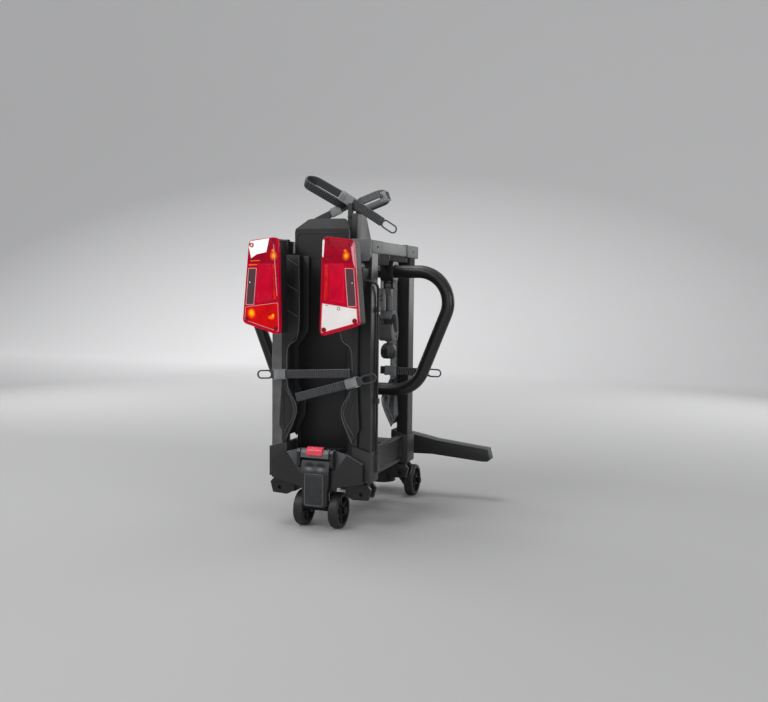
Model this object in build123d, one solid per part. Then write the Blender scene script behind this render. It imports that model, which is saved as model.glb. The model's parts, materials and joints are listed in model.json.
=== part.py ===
from build123d import *
import math
import os

# A folding two-bike carrier for a tow ball, folded and standing on its four wheels.
# X runs to the right, Y runs away from the lamps towards the tow ball, Z runs up.
# It is drawn with X and Y zero midway between the wings at the front trays' faces, and Z zero on
# the floor. The last lines move it, so that its own origin is the centre of the tow ball.

# Clearances
pin_gap = 0.05          # radial gap between a pin and the hole that turns on it
seat_gap = 0.3          # gap between two pieces that move past each other
ear_gap = 0.5           # side gap between a hinge tongue and its ears
socket_gap = 0.2        # gap round a tube in its socket

# Wings
hinge_x = 105.4
hinge_z = 87.0
hinge_pin_r = 5.0
tray_height = 30.0
tray_width = 42.0
tray_wall = 2.5
tray_outer_x = 127.0
tray_pitch = 277.0
wing_top_z = 680.0
crossbar_height = 30.0
crossbar_overhang_front = 11.0
crossbar_overhang_rear = 28.0
bar_bracket_drop = 21.0
tray_foot_z = 128.0

tray_inner_x = tray_outer_x - tray_height
crossbar_bottom_z = wing_top_z - crossbar_height
tray_fronts = {"front": 0.0, "rear": tray_pitch}

# Wheel cups in the trays
cup_wall = 5.0
cup_lip = 9.0
cup_floor = 6.0
cup_reach = 45.0
cup_border = 6.0         # the rim left round the sunk leaf on a cup's front wall
cup_low_z = 208.0
cup_high_z = 645.0
cup_waist_z = 380.0
cup_waist_half = 45.0
cup_waist_depth = 17.0

# Feet of the wings, with the hinge tongues
collar_wall = 3.0
collar_low_z = 116.0
collar_outer_z = 187.0
collar_inner_z = 200.0
collar_inner_x = 84.0
collar_lip = 6.0
tongue_r = 13.4
ear_thickness = 7.0
ear_low_z = 74.0
ear_high_z = 112.0
ear_root_x = 66.0
ear_web_x = 84.0
ear_tip = (25.0, 12.5)       # the ears' corners, out and up from the pin
ear_shoulder = (15.0, 23.5)
ear_heel = (18.0, -13.0)
ear_toe = (-19.0, -15.0)

# Frame between the wings
beam_half = 35.0
beam_low_z = 96.0
beam_high_z = 132.0
beam_wall = 3.0
member_half = 80.0
member_inset = 5.0
plate_thickness = 10.0
plate_low_z = 122.0
plate_high_z = 190.0
plate_x = 107.0

# Wheels
wheel_r = 42.5
wheel_width = 24.0
wheel_rim = 9.5
hub_r = 11.0
axle_r = 6.0
spoke_count = 6
spoke_width = 6.0
front_wheel_x = 44.6
front_axle_y = 12.0
rear_wheel_x = 101.0
rear_axle_y = 405.0
axle_plate = 6.0
rear_plate_x = 78.0

# Hoop and mast
hoop_r = 15.5
hoop_wall = 2.0
hoop_y = 160.0
hoop_drop = 39.0         # from the crossbars' underside to the hoop's axis
hoop_top_z = crossbar_bottom_z - hoop_drop
hoop_low_z = 320.0
hoop_top_x = 300.8
hoop_low_x = 183.5
hoop_bend_r = 75.0
mast_r = 25.0
mast_wall = 3.0
mast_rise = 29.0         # how far the mast stands above the hoop's axis
mast_flange = 5.0
mast_cap = 6.0

mast_high_z = hoop_top_z + mast_rise

# Number-plate board
board_y = 55.0
board_thickness = 20.0
board_centre_x = -18.0
board_low_half = 66.0
board_high_half = 71.0
board_low_z = 172.0
board_high_z = 735.0
board_top_rim = 24.0     # the rim above the sunk panel
board_hollow_wall = 4.0
board_boss = 4.0
board_corner_r = 24.0
panel_width = 112.0
panel_height = 520.0
panel_depth = 4.0
panel_corner_r = 14.0
panel_hole_r = 2.5
panel_hole_pitch = 340.0
board_arm_half = 11.0
board_arm_zs = (250.0, 572.0)

# Lamps
lamp_front_y = -116.0
lens_thickness = 7.0
housing_depth = 40.0
housing_inset = 3.0
housing_wall = 3.0
lamp_corner_r = 8.0
lamp_inner_top = (54.0, 682.0)
lamp_outer_top = (127.0, 674.0)
lamp_outer_low = (143.0, 488.0)
lamp_inner_low = (48.0, 460.0)
bracket_thickness = 6.0
bracket_zs = (560.0, 618.0)
bracket_inner_x = 70.0
bracket_outer_x = 122.0

# Lamp leads
lead_r = 3.0
lead_x = tray_outer_x + lead_r + 1.0
lead_y = 33.0
lead_depth = 40.0        # how far above the collar's foot the lead's hole ends
lead_drops = (4.0, 10.0, 28.0)
lead_exit_x = 108.0
lead_exit_rise = 1.0     # above the middle of the bracket's two arms
lead_exit_z = sum(bracket_zs) / 2 + lead_exit_rise
clip_zs = (520.0, 305.0)
clip_half = 6.0

# Rear cover with the foot pedal
cover_front_y = -20.5
cover_back_y = -10.0
cover_outer_x = 116.0
cover_shoulder_x = 77.0
cover_crown_x = 44.0
cover_end_z = (116.0, 162.0)         # lowest and highest level at the cover's ends
cover_shoulder_z = 180.5
cover_crown_z = 188.0
cover_low_z = 99.5
cover_low_half = 40.0
cover_skin = 2.5
cover_step = 4.0                     # how deep the pedal's bay is sunk
cover_post_y = -31.0
post_low_z = 140.0
post_high_z = 190.0
stay_low_z = 104.0
pedal_front_y = -32.0
pedal_back_y = -15.5
pedal_half = 36.0
pedal_toe_half = 29.5
pedal_toe_z = 54.0
pedal_taper_z = 92.0
pedal_top_z = 164.0
pedal_pin_r = 3.0
pedal_pin_y = -22.0
pedal_pin_z = 158.0
pedal_shoulder = 22.0
pedal_toe_bevel = 6.0
pedal_wall = 3.0
pedal_boss = 12.0        # how far the solid head reaches below the pin
pedal_pad_half = 24.5
pedal_pad_gap = 4.0
pedal_pad_length = 76.0
pedal_pad_corner = 6.0
pedal_pad_thickness = 3.0
lid_low_z = 171.0
lid_high_z = 191.0
lid_notch = 14.0
button_half = 20.0
button_high_z = 197.0
button_bevel = 7.0
button_travel = 4.0
post_inner_x = 37.5
post_width = 9.0

# Tow coupling
tilt_y = 385.0
tilt_z = 110.0
tilt_pin_r = 6.0
fork_ear_x = 30.0
fork_ear_thickness = 8.0
coupling_half = 42.0
coupling_start_y = 404.0
coupling_end_y = 484.0
ball_y = 444.0
ball_socket_r = 25.15
ball_socket_depth = 42.0
coupling_low_z = 26.0
coupling_shoulder_z = 72.0
coupling_high_z = 140.0
jaw_r = 36.0
lever_pin_x = 58.0
lever_pin_z = 143.0
lever_pin_r = 5.0
lever_front_y = 410.0
lever_width = 40.0
lever_ear = 8.0
lever_root_x = 75.0
lever_tip_x = 318.0
lever_wall = 4.0
lever_top = ((88.0, 28.0), (127.0, 21.0), (166.0, 13.0), (311.0, -3.0))   # X, and Z above the pin
lever_foot = ((156.0, -26.0), (295.0, -37.0), (312.0, -36.0))
lever_channel = 8.0                  # how far under the handle's top its channel ends

# Tray straps: band, buckle and lever
band_width = 20.0
band_thickness = 3.0
buckle_half_length = 16.0
buckle_half_width = 12.0
buckle_height = 14.0
buckle_cheek = 2.0
buckle_floor = 4.0
lever_lift = 10.0
lever_pin_back = 11.0
lever_barrel_r = 2.6
lever_axis_r = 1.5
ring_wall = 3.0

# Bike clamps on the hoop
clamp_y_half = 22.0
clamp_z_half = 24.0
low_clamp_x = 113.5
low_clamp_half = 16.5
top_clamp_x = 46.0
top_clamp_half = 16.0
arm_lug = 5.0
arm_pin_r = 4.0
arm_pin_drop = 34.0
arm_tongue_half = 7.0
arm_rod_r = 8.0
arm_eye_r = 9.0
arm_neck = 24.0
arm_stud_r = 5.0
claw_half = 20.0
claw_drop = 95.0         # from the hoop's axis down to the claw's top
claw_height = 76.0
claw_front = 30.0
claw_back = 26.0
claw_slant = 14.0
claw_mouth_r = 17.0
knob_r = 17.0
knob_length = 36.0
knob_gap = 8.0
knob_flutes = 6
knob_flute_r = 5.0

claw_high_z = hoop_top_z - claw_drop
claw_low_z = claw_high_z - claw_height

# The top arm's plate: X edges, and how far it reaches in Y and Z from the hoop's axis
plate_near_x = 28.0
plate_far_x = 44.0
plate_front = 42.0
plate_back = 54.0
plate_back_high = 19.0
plate_foot = 48.0
plate_knee = 84.0
plate_rise = 141.0
head_rise = 157.0
head_front = 14.0
head_back = 8.0

# The top arm's straps: places from the hoop's axis and the arm's plate, slopes in degrees
loop_left_place = (-80.0, -6.0, 199.0)
loop_left_slope = 151.0
loop_left_size = (132.0, 52.0)
loop_right_place = (39.0, 2.0, 173.0)
loop_right_slope = 20.0
loop_right_size = (86.0, 44.0)
loop_tilt = 20.0
buckle_place = (-16.0, -30.0, 177.0)
buckle_slope = -32.0
buckle_size = (20.0, 14.0, 12.0)     # half length, depth and half width
tail_length = 112.0
tail_ring = 44.0
catch_place = (72.0, -2.0, 183.0)
catch_size = (9.0, 14.0, 12.0)
catch_slope = 20.0
short_place = (-53.0, -8.0, 150.0)
short_slope = 24.0
short_reach = (62.0, 58.0)           # down to its free end and up to the neck
clasp_size = (14.0, 8.0, 11.0)
neck_reach = 8.0
neck_depth = 10.0
neck_rise = 14.0

# Coiled trailer cable
cable_r = 4.0
coil_inner_r = 75.0
coil_pitch = 8.8
coil_half_turns = 6
coil_lead_r = 40.0
gland_y = 115.0
box_half = 30.0
plug_r = 20.0
plug_length = 50.0
plug_y = 290.0
plug_x = -30.0
plug_bore = 14.0

# The tow ball's centre, which becomes the part's origin
ball_z = coupling_low_z + ball_socket_depth / 2

pieces = {}


def block(x0, x1, y0, y1, z0, z1):
    """A box between two corners."""
    size = Box(abs(x1 - x0), abs(y1 - y0), abs(z1 - z0))
    return Pos((x0 + x1) / 2, (y0 + y1) / 2, (z0 + z1) / 2) * size


def face_slab(points, y0, y1):
    """A slab whose outline is drawn in X and Z."""
    outline = Face(Wire.make_polygon([(x, y0, z) for x, z in points], close=True))
    return Part() + Solid.extrude(outline, Vector(0, y1 - y0, 0))


def side_slab(points, x0, x1):
    """A slab whose outline is drawn in Y and Z."""
    outline = Face(Wire.make_polygon([(x0, y, z) for y, z in points], close=True))
    return Part() + Solid.extrude(outline, Vector(x1 - x0, 0, 0))


def rod_x(x0, x1, y, z, r):
    return Pos((x0 + x1) / 2, y, z) * Rot(0, 90, 0) * Cylinder(r, abs(x1 - x0))


def rod_y(x, y0, y1, z, r):
    return Pos(x, (y0 + y1) / 2, z) * Rot(90, 0, 0) * Cylinder(r, abs(y1 - y0))


def rod_z(x, y, z0, z1, r):
    return Pos(x, y, (z0 + z1) / 2) * Cylinder(r, abs(z1 - z0))


def rounded(shape, axis, r):
    """Rounds every edge that runs along one axis."""
    return fillet(shape.edges().filter_by(axis), r)


def handed(shape, side):
    """The right-hand piece, or its mirror image for the left wing."""
    return shape if side > 0 else mirror(shape, about=Plane.YZ)


def group(*solids):
    """Several separate solids in one piece."""
    return Compound([solid for part in solids for solid in part.solids()])


# Wings

def tray(y):
    """A channel of box section, from the foot's socket to the crossbar."""
    outside = block(tray_inner_x, tray_outer_x, y, y + tray_width, tray_foot_z, crossbar_bottom_z)
    outside = rounded(outside, Axis.Z, 2.0)
    inside = block(
        tray_inner_x + tray_wall, tray_outer_x - tray_wall,
        y + tray_wall, y + tray_width - tray_wall,
        tray_foot_z - 1, crossbar_bottom_z + 1,
    )
    return outside - inside


def lead_clips(y):
    """Two clips on the tray's outer side that hold the lamp lead."""
    clips = Part()
    for z in clip_zs:
        clip = block(
            tray_outer_x - 0.5, lead_x + lead_r + 1.5,
            y + lead_y - clip_half, y + lead_y + clip_half, z - clip_half, z + clip_half,
        )
        clips += clip
    return clips - rod_z(lead_x, y + lead_y, 0, wing_top_z, lead_r + pin_gap)


def cup_outline():
    """The side wall of a wheel cup, seen from the lamp side: a deep end, a waist and a deep end."""
    inner = tray_inner_x
    deep = inner - cup_reach
    waist = inner - cup_waist_depth
    return [
        (inner - 13, cup_low_z),
        (deep + 8, cup_low_z + 52),
        (deep + 6, cup_low_z + 84),
        (waist, cup_waist_z - cup_waist_half),
        (waist, cup_waist_z + cup_waist_half),
        (deep, cup_waist_z + cup_waist_half + 40),
        (deep, cup_high_z),
        (inner, cup_high_z),
        (inner, cup_waist_z - cup_waist_half + 8),
        (inner + 6, cup_low_z + 32),
    ]


def cup_ramp():
    """The sloping floors inside a cup that cradle the tyre."""
    floor_x = tray_inner_x - cup_floor
    crest = tray_inner_x - cup_reach + 14
    skin = 4.0
    low_end = [
        (floor_x - 4, cup_low_z + 7),
        (crest + 8, cup_low_z + 52),
        (crest + 8, cup_low_z + 80),
        (floor_x, cup_waist_z - cup_waist_half),
        (floor_x, cup_waist_z - cup_waist_half - 3 * skin),
        (crest + 8 + skin, cup_low_z + 76),
        (crest + 8 + skin, cup_low_z + 55),
        (floor_x, cup_low_z + 7 + 3 * skin),
    ]
    high_end = [
        (floor_x, cup_waist_z + cup_waist_half),
        (crest, cup_waist_z + cup_waist_half + 48),
        (crest, cup_high_z),
        (crest + skin, cup_high_z),
        (crest + skin, cup_waist_z + cup_waist_half + 50),
        (floor_x, cup_waist_z + cup_waist_half + 3 * skin),
    ]
    return [low_end, high_end]


def sunk_leaf(front):
    """The sunk leaf in the cup's lower front wall."""
    leaf = cup_outline()[:4] + cup_outline()[-2:]
    outline = Face(Wire.make_polygon([(x, front - 1, z) for x, z in leaf], close=True))
    inset = Face(outline.outer_wire().offset_2d(-cup_border))
    return Part() + Solid.extrude(inset, Vector(0, 1 + cup_wall / 2, 0))


def cup(y):
    """A moulded wheel cup: two side walls, a floor and two ramps with ribs."""
    front = y - cup_lip
    back = y + tray_width + cup_lip
    low = cup_low_z + 26
    body = block(tray_inner_x - cup_floor, tray_inner_x, front + 1, back - 1, low, cup_high_z)
    body += face_slab(cup_outline(), front, front + cup_wall) - sunk_leaf(front)
    body += face_slab(cup_outline(), back - cup_wall, back)
    for ramp in cup_ramp():
        body += face_slab(ramp, front + 1, back - 1)
    return body


def crossbar():
    """The box-section bar along the wing's end, with its front bracket and rear cap."""
    start = -crossbar_overhang_front
    end = tray_pitch + tray_width + crossbar_overhang_rear
    bar = block(tray_inner_x, tray_outer_x, start, end, crossbar_bottom_z, wing_top_z)
    bar = rounded(bar, Axis.Y, 3.0)
    hollow = block(
        tray_inner_x + tray_wall, tray_outer_x - tray_wall, start + 6, end - 8,
        crossbar_bottom_z + tray_wall, wing_top_z - tray_wall,
    )
    low = crossbar_bottom_z - bar_bracket_drop
    bracket = face_slab(
        [
            (tray_inner_x + 0.5, low + 8), (tray_inner_x + 8, low), (tray_outer_x - 4, low),
            (tray_outer_x, low + 6), (tray_outer_x, crossbar_bottom_z + 3),
            (tray_inner_x + 0.5, crossbar_bottom_z + 3),
        ],
        start, -seat_gap,
    )
    return bar - hollow + bracket


def cross_plate():
    """The pressed plate that joins the two trays near the hinge, with a rolled rim."""
    front = tray_width + collar_lip
    back = tray_pitch - collar_lip
    plate = block(plate_x, plate_x + plate_thickness, front, back, plate_low_z, plate_high_z)
    corners = plate.edges().filter_by(Axis.X).group_by(Axis.Z)[-1]
    plate = fillet(corners, 14.0)
    rim = 4.0
    pocket = block(
        plate_x + rim, plate_x + plate_thickness + 1,
        front + 2 * rim, back - 2 * rim, plate_low_z + 2 * rim, plate_high_z - 2 * rim,
    )
    return plate - rounded(pocket, Axis.X, 8.0)


def knuckle(y, with_gland):
    """The cast foot of a tray: a socket for the tube, a tongue for the hinge pin and, in front, a gland."""
    outer_x = tray_outer_x + collar_wall
    front = y - collar_lip
    back = y + tray_width + collar_lip
    socket = face_slab(
        [
            (collar_inner_x, collar_low_z), (outer_x, collar_low_z),
            (outer_x, collar_outer_z), (collar_inner_x, collar_inner_z),
        ],
        front, back,
    )
    socket -= block(
        tray_inner_x - socket_gap, tray_outer_x + socket_gap,
        y - socket_gap, y + tray_width + socket_gap, tray_foot_z, collar_inner_z + 10,
    )
    tongue_front = y + ear_thickness + ear_gap
    tongue_back = y + tray_width - ear_thickness - ear_gap
    tongue = block(
        hinge_x - tongue_r, hinge_x + tongue_r, tongue_front, tongue_back, hinge_z, collar_low_z + 1,
    )
    tongue += rod_y(hinge_x, tongue_front, tongue_back, hinge_z, tongue_r)
    tongue -= rod_y(hinge_x, tongue_front - 1, tongue_back + 1, hinge_z, hinge_pin_r + pin_gap)
    body = socket + tongue
    if not with_gland:
        return body
    body += block(
        outer_x - 1, lead_x + lead_r + 2, y + lead_y - 6, y + lead_y + 6,
        collar_low_z + 20, collar_outer_z - 6,
    )
    hole_low = collar_low_z + lead_depth
    return body - rod_z(lead_x, y + lead_y, hole_low, collar_inner_z, lead_r + pin_gap)


# Straps, drawn lying along X at the origin and standing out towards -Y

def pull_ring(start, length):
    """The oblong pull ring at a strap's end."""
    half = band_width / 2
    end = start + length
    plate = block(start, end, -buckle_floor - band_thickness, -buckle_floor, -half, half)
    outside = rounded(plate, Axis.Y, half - 0.5)
    slot_half = half - ring_wall
    inside = block(
        start + 3 * ring_wall, end - ring_wall,
        -buckle_floor - band_thickness - 1, -buckle_floor + 1, -slot_half, slot_half,
    )
    return outside - rounded(inside, Axis.Y, slot_half - 0.5)


def strap(band_start, band_end, ring_length, ring_first):
    """A ribbed band through a buckle, with a pull ring at its start or at its end."""
    half = band_width / 2 - seat_gap
    level = -buckle_floor
    body = block(
        -buckle_half_length, buckle_half_length, level, 0, -buckle_half_width, buckle_half_width,
    )
    for sign in (-1, 1):
        body += block(
            -buckle_half_length, buckle_half_length, -buckle_height, 0,
            sign * (buckle_half_width - buckle_cheek), sign * buckle_half_width,
        )
    pin_half = buckle_half_width - 0.5
    pin = rod_z(-lever_pin_back, -lever_lift - 2, -pin_half, pin_half, lever_axis_r)
    body += pin
    body += block(band_start, band_end, level - band_thickness, level, -half, half)
    step = band_thickness * 2
    count = int((band_end - band_start - step) / step)
    for index in range(count):
        x = band_start + step * (index + 0.75)
        front = level - band_thickness - 0.8
        body += block(x, x + step / 2, front, front + 1.0, -half, half)
    if ring_first:
        return body + pull_ring(band_start - ring_length + 1, ring_length)
    return body + mirror(pull_ring(-band_end - ring_length + 1, ring_length), about=Plane.YZ)


def buckle_lever():
    """The ratchet lever that lies over the buckle and lifts about its pin."""
    half = buckle_half_width - buckle_cheek - seat_gap
    axis_y = -lever_lift - 2
    plate = block(-lever_pin_back, buckle_half_length, -lever_lift - 4, -lever_lift, -half, half)
    barrel = rod_z(-lever_pin_back, axis_y, -half, half, lever_barrel_r)
    hole = rod_z(-lever_pin_back, axis_y, -half - 1, half + 1, lever_axis_r + pin_gap)
    return rounded(plate, Axis.Y, 3.0) + barrel - hole


# Where each tray strap's buckle sits: centre and slope in degrees
strap_places = {
    "left_front": ((-98.0, 362.0), 3.0),
    "right_front": ((90.0, 351.0), 196.0),
    "left_rear": ((-84.0, 357.0), 181.0),
    "right_rear": ((84.0, 357.0), -1.0),
}
# Each tray strap's band limits, its ring's length and whether the ring is on the band's start
strap_bands = {
    "left_front": (-20.0, 172.0, 42.0, True),
    "right_front": (-20.0, 148.0, 42.0, True),
    "left_rear": (-28.0, 98.0, 40.0, False),
    "right_rear": (-28.0, 98.0, 40.0, False),
}
strap_stand_off = {"left_front": 0.0, "right_front": 6.0, "left_rear": 0.0, "right_rear": 0.0}


def strap_frame(name):
    """The placement of a strap: its buckle stands on the cup's front wall."""
    (x, z), slope = strap_places[name]
    side, row = name.split("_")
    y = tray_fronts[row] - cup_lip - strap_stand_off[name]
    return Pos(x, y, z) * Rot(0, -slope, 0)


def placed_strap(name):
    body = strap(*strap_bands[name])
    if strap_stand_off[name] > 0:
        foot = block(
            -buckle_half_length, buckle_half_length - 4, 0, strap_stand_off[name],
            -buckle_half_width + 2, buckle_half_width - 2,
        )
        body += foot
    return strap_frame(name) * body


# Lamps

def lamp_outline(inset):
    """The lamp's face: a slanted foot, and corners that are rounded."""
    corners = [lamp_inner_top, lamp_outer_top, lamp_outer_low, lamp_inner_low]
    wire = Wire.make_polygon([(x, 0, z) for x, z in corners], close=True)
    face = Face(wire)
    face = face.fillet_2d(lamp_corner_r, face.vertices())
    if inset > 0:
        face = Face(face.outer_wire().offset_2d(-inset))
    return face


def lamp_slab(inset, y0, y1):
    face = Pos(0, y0, 0) * lamp_outline(inset)
    return Part() + Solid.extrude(face, Vector(0, y1 - y0, 0))


def lamp_lens():
    return lamp_slab(0.0, lamp_front_y, lamp_front_y + lens_thickness)


def lamp_housing():
    """The hollow housing behind the lens."""
    start = lamp_front_y + lens_thickness
    shell = lamp_slab(housing_inset, start, start + housing_depth)
    return shell - lamp_slab(housing_inset + housing_wall, start - 1, start + housing_depth - housing_wall)


def lamp_bracket():
    """Two arms and a foot plate that carry the lamp in front of the tray."""
    back = lamp_front_y + lens_thickness + housing_depth
    foot_inner = tray_inner_x + 1
    low, high = bracket_zs
    body = block(foot_inner, bracket_outer_x, -cup_lip, 0, low - 12, high + 8)
    for z in bracket_zs:
        thick = bracket_thickness / 2
        arm = block(foot_inner, bracket_outer_x, back, -cup_lip + 1, z - thick, z + thick)
        body += arm
    body += block(bracket_inner_x, bracket_outer_x, back, back + bracket_thickness, low - 12, high + 8)
    return body - rod_y(lead_exit_x, back - 1, back + bracket_thickness + 1, lead_exit_z, lead_r + pin_gap)


def lamp_lead():
    """The lead from the lamp's back, round the tray and down its outer side."""
    back = lamp_front_y + lens_thickness + housing_depth
    x = lead_x
    points = [
        (lead_exit_x, back, lead_exit_z), (lead_exit_x, back + 22, lead_exit_z),
        (x - lead_r, back + 50, lead_exit_z - lead_drops[0]),
        (x + 5, back + 85, lead_exit_z - lead_drops[1]), (x, lead_y, lead_exit_z - lead_drops[2]),
        (x, lead_y, collar_low_z + lead_depth),
    ]
    radii = smooth_radii(points)
    route = FilletPolyline(*points, radius=radii)
    section = Plane(origin=route @ 0, z_dir=route % 0) * Circle(lead_r)
    print("lamp lead radii", [round(r, 1) for r in radii], "length", round(route.length, 1))
    return sweep(section, path=route)


def smooth_radii(points):
    """The largest radius that each corner's shorter run allows."""
    radii = []
    for before, here, after in zip(points, points[1:], points[2:]):
        first = Vector(*here) - Vector(*before)
        second = Vector(*after) - Vector(*here)
        half_turn = math.radians(first.get_angle(second) / 2)
        radii.append(0.45 * min(first.length, second.length) / math.tan(half_turn))
    return radii


def make_wings():
    for side, word in ((-1, "left"), (1, "right")):
        for row, y in tray_fronts.items():
            body = tray(y)
            if row == "front":
                body += lead_clips(y)
            pieces[f"{word}_{row}_tray"] = handed(body, side)
            pieces[f"{word}_{row}_cup"] = handed(cup(y), side)
            name = f"{word}_{row}"
            pieces[f"{name}_strap"] = placed_strap(name)
            pieces[f"{name}_buckle_lever"] = strap_frame(name) * buckle_lever()
        pieces[f"{word}_crossbar"] = handed(crossbar(), side)
        pieces[f"{word}_cross_plate"] = handed(cross_plate(), side)
        knuckles = group(*[handed(knuckle(y, row == "front"), side) for row, y in tray_fronts.items()])
        pieces[f"{word}_hinge_feet"] = knuckles
        pieces[f"{word}_lamp_lens"] = handed(lamp_lens(), side)
        pieces[f"{word}_lamp_housing"] = handed(lamp_housing(), side)
        pieces[f"{word}_lamp_bracket"] = handed(lamp_bracket(), side)
        pieces[f"{word}_lamp_lead"] = handed(lamp_lead(), side)


# Frame

def hinge_ears(y):
    """A pair of ears for one wing's hinge, on a web at the cross member's end."""
    corners = [(hinge_x + dx, hinge_z + dz) for dx, dz in (ear_tip, ear_heel, ear_toe)]
    corners += [(ear_root_x, ear_low_z + 8), (ear_root_x, ear_high_z)]
    corners += [(hinge_x + ear_shoulder[0], hinge_z + ear_shoulder[1])]
    body = block(ear_root_x, ear_web_x, y, y + tray_width, ear_low_z + 6, ear_high_z)
    for start in (y, y + tray_width - ear_thickness):
        body += face_slab(corners, start, start + ear_thickness)
    return body - rod_y(hinge_x, y - 1, y + tray_width + 1, hinge_z, hinge_pin_r)


def cross_member(y):
    """A box section across the carrier with a pair of hinge ears at each end."""
    body = block(
        -member_half, member_half, y + member_inset, y + tray_width - member_inset, beam_low_z, beam_high_z,
    )
    body = rounded(body, Axis.X, 3.0)
    body += hinge_ears(y)
    body += mirror(hinge_ears(y), about=Plane.YZ)
    return body


def front_member():
    """The front cross member with the two plates that hold the front axle."""
    body = cross_member(0.0)
    inner = front_wheel_x - wheel_width / 2 - 2.5
    outline = [
        (front_axle_y - 11, wheel_r), (front_axle_y - 8, beam_low_z + 1),
        (tray_width - member_inset, beam_low_z + 1),
        (tray_width - member_inset, beam_low_z - 6), (front_axle_y + 11, wheel_r),
    ]
    for sign in (-1, 1):
        plate = side_slab(outline, sign * (inner - axle_plate), sign * inner)
        plate += rod_x(sign * (inner - axle_plate), sign * inner, front_axle_y, wheel_r, 11.0)
        body += plate
    return body - rod_x(-front_wheel_x, front_wheel_x, front_axle_y, wheel_r, axle_r)


def rear_member():
    """The rear cross member with the tilt fork and the rear wheel arms."""
    body = cross_member(tray_pitch)
    back = tray_pitch + tray_width - member_inset
    for sign in (-1, 1):
        x0 = sign * fork_ear_x
        x1 = sign * (fork_ear_x + fork_ear_thickness)
        ear = block(x0, x1, back - 1, tilt_y, tilt_z - 14, tilt_z + 15)
        ear += rod_x(x0, x1, tilt_y, tilt_z, 15.0)
        body += ear
        x0 = sign * (rear_plate_x - axle_plate / 2)
        x1 = sign * (rear_plate_x + axle_plate / 2)
        arm = side_slab(
            [
                (tray_pitch + tray_width - 1, ear_low_z + 8), (tray_pitch + tray_width - 1, ear_high_z - 2),
                (rear_axle_y + 9, wheel_r + 9), (rear_axle_y, wheel_r - 14),
            ],
            x0, x1,
        )
        arm += rod_x(x0, x1, rear_axle_y, wheel_r, 14.0)
        body += arm
    body -= rod_x(-rear_wheel_x, rear_wheel_x, rear_axle_y, wheel_r, axle_r)
    return body - rod_x(-60, 60, tilt_y, tilt_z, tilt_pin_r)


def main_beam():
    """The box-section beam between the two cross members."""
    start = tray_width - member_inset
    end = tray_pitch + member_inset
    outside = rounded(block(-beam_half, beam_half, start, end, beam_low_z, beam_high_z), Axis.Y, 4.0)
    inside = block(
        -beam_half + beam_wall, beam_half - beam_wall, start - 1, end + 1,
        beam_low_z + beam_wall, beam_high_z - beam_wall,
    )
    return outside - inside


def hinge_pins():
    """The four wing hinge pins, each sunk into its front ear."""
    sunk = 3.0
    pins = []
    for y in tray_fronts.values():
        for sign in (-1, 1):
            pins.append(rod_y(sign * hinge_x, y + sunk, y + tray_width + 4, hinge_z, hinge_pin_r))
    return group(*pins)


def pivot_pins():
    """The pedal's pin and the coupling's tilt pin."""
    pin_end = post_inner_x + post_width
    pedal_pin = rod_x(-pin_end, pin_end, pedal_pin_y, pedal_pin_z, pedal_pin_r)
    reach = fork_ear_x + fork_ear_thickness + 4
    tilt_pin = rod_x(-reach, reach, tilt_y, tilt_z, tilt_pin_r)
    return group(pedal_pin, tilt_pin)


def axles():
    """The front axle and the two rear stub axles, with their end caps."""
    reach = front_wheel_x + wheel_width / 2 + 1
    front = rod_x(-reach, reach, front_axle_y, wheel_r, axle_r)
    for sign in (-1, 1):
        front += rod_x(sign * reach, sign * (reach + 5), front_axle_y, wheel_r, axle_r + 3)
    rods = [front]
    for sign in (-1, 1):
        outside = rear_wheel_x + wheel_width / 2 + 1
        stub = rod_x(sign * (rear_plate_x - axle_plate / 2), sign * outside, rear_axle_y, wheel_r, axle_r)
        stub += rod_x(sign * outside, sign * (outside + 11), rear_axle_y, wheel_r, axle_r + 1.5)
        rods.append(stub)
    return group(*rods)


def wheel(x, y):
    """A spoked wheel with its tread ring, hub and spokes in one moulding."""
    x0 = x - wheel_width / 2
    x1 = x + wheel_width / 2
    tread = rod_x(x0, x1, y, wheel_r, wheel_r)
    tread = fillet(tread.edges().filter_by(GeomType.CIRCLE), 4.0)
    tread -= rod_x(x0 - 1, x1 + 1, y, wheel_r, wheel_r - wheel_rim)
    body = tread + rod_x(x0, x1, y, wheel_r, hub_r)
    reach = wheel_r - wheel_rim + 1
    for index in range(spoke_count):
        angle = 360.0 * index / spoke_count
        spoke = block(x0 + 5, x1 - 5, -spoke_width / 2, spoke_width / 2, hub_r - 2, reach)
        body += Pos(0, y, wheel_r) * Rot(angle, 0, 0) * spoke
    return body - rod_x(x0 - 1, x1 + 1, y, wheel_r, axle_r + pin_gap)


def make_frame():
    pieces["main_beam"] = main_beam()
    pieces["front_cross_member"] = front_member()
    pieces["rear_cross_member"] = rear_member()
    pieces["hinge_pins"] = hinge_pins()
    pieces["pivot_pins"] = pivot_pins()
    pieces["wheel_axles"] = axles()
    for sign, word in ((-1, "left"), (1, "right")):
        pieces[f"front_{word}_wheel"] = wheel(sign * front_wheel_x, front_axle_y)
        pieces[f"rear_{word}_wheel"] = wheel(sign * rear_wheel_x, rear_axle_y)


# Hoop, mast and number-plate board

def half_hoop(side):
    """One half of the bent tube loop, from the mast round to the mast."""
    corners = [
        (0, hoop_y, hoop_top_z), (side * hoop_top_x, hoop_y, hoop_top_z),
        (side * hoop_low_x, hoop_y, hoop_low_z), (0, hoop_y, hoop_low_z),
    ]
    route = FilletPolyline(*corners, radius=hoop_bend_r)
    section = Plane(origin=route @ 0, z_dir=route % 0) * (Circle(hoop_r) - Circle(hoop_r - hoop_wall))
    return sweep(section, path=route)


def hoop():
    return half_hoop(1) + half_hoop(-1)


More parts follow.
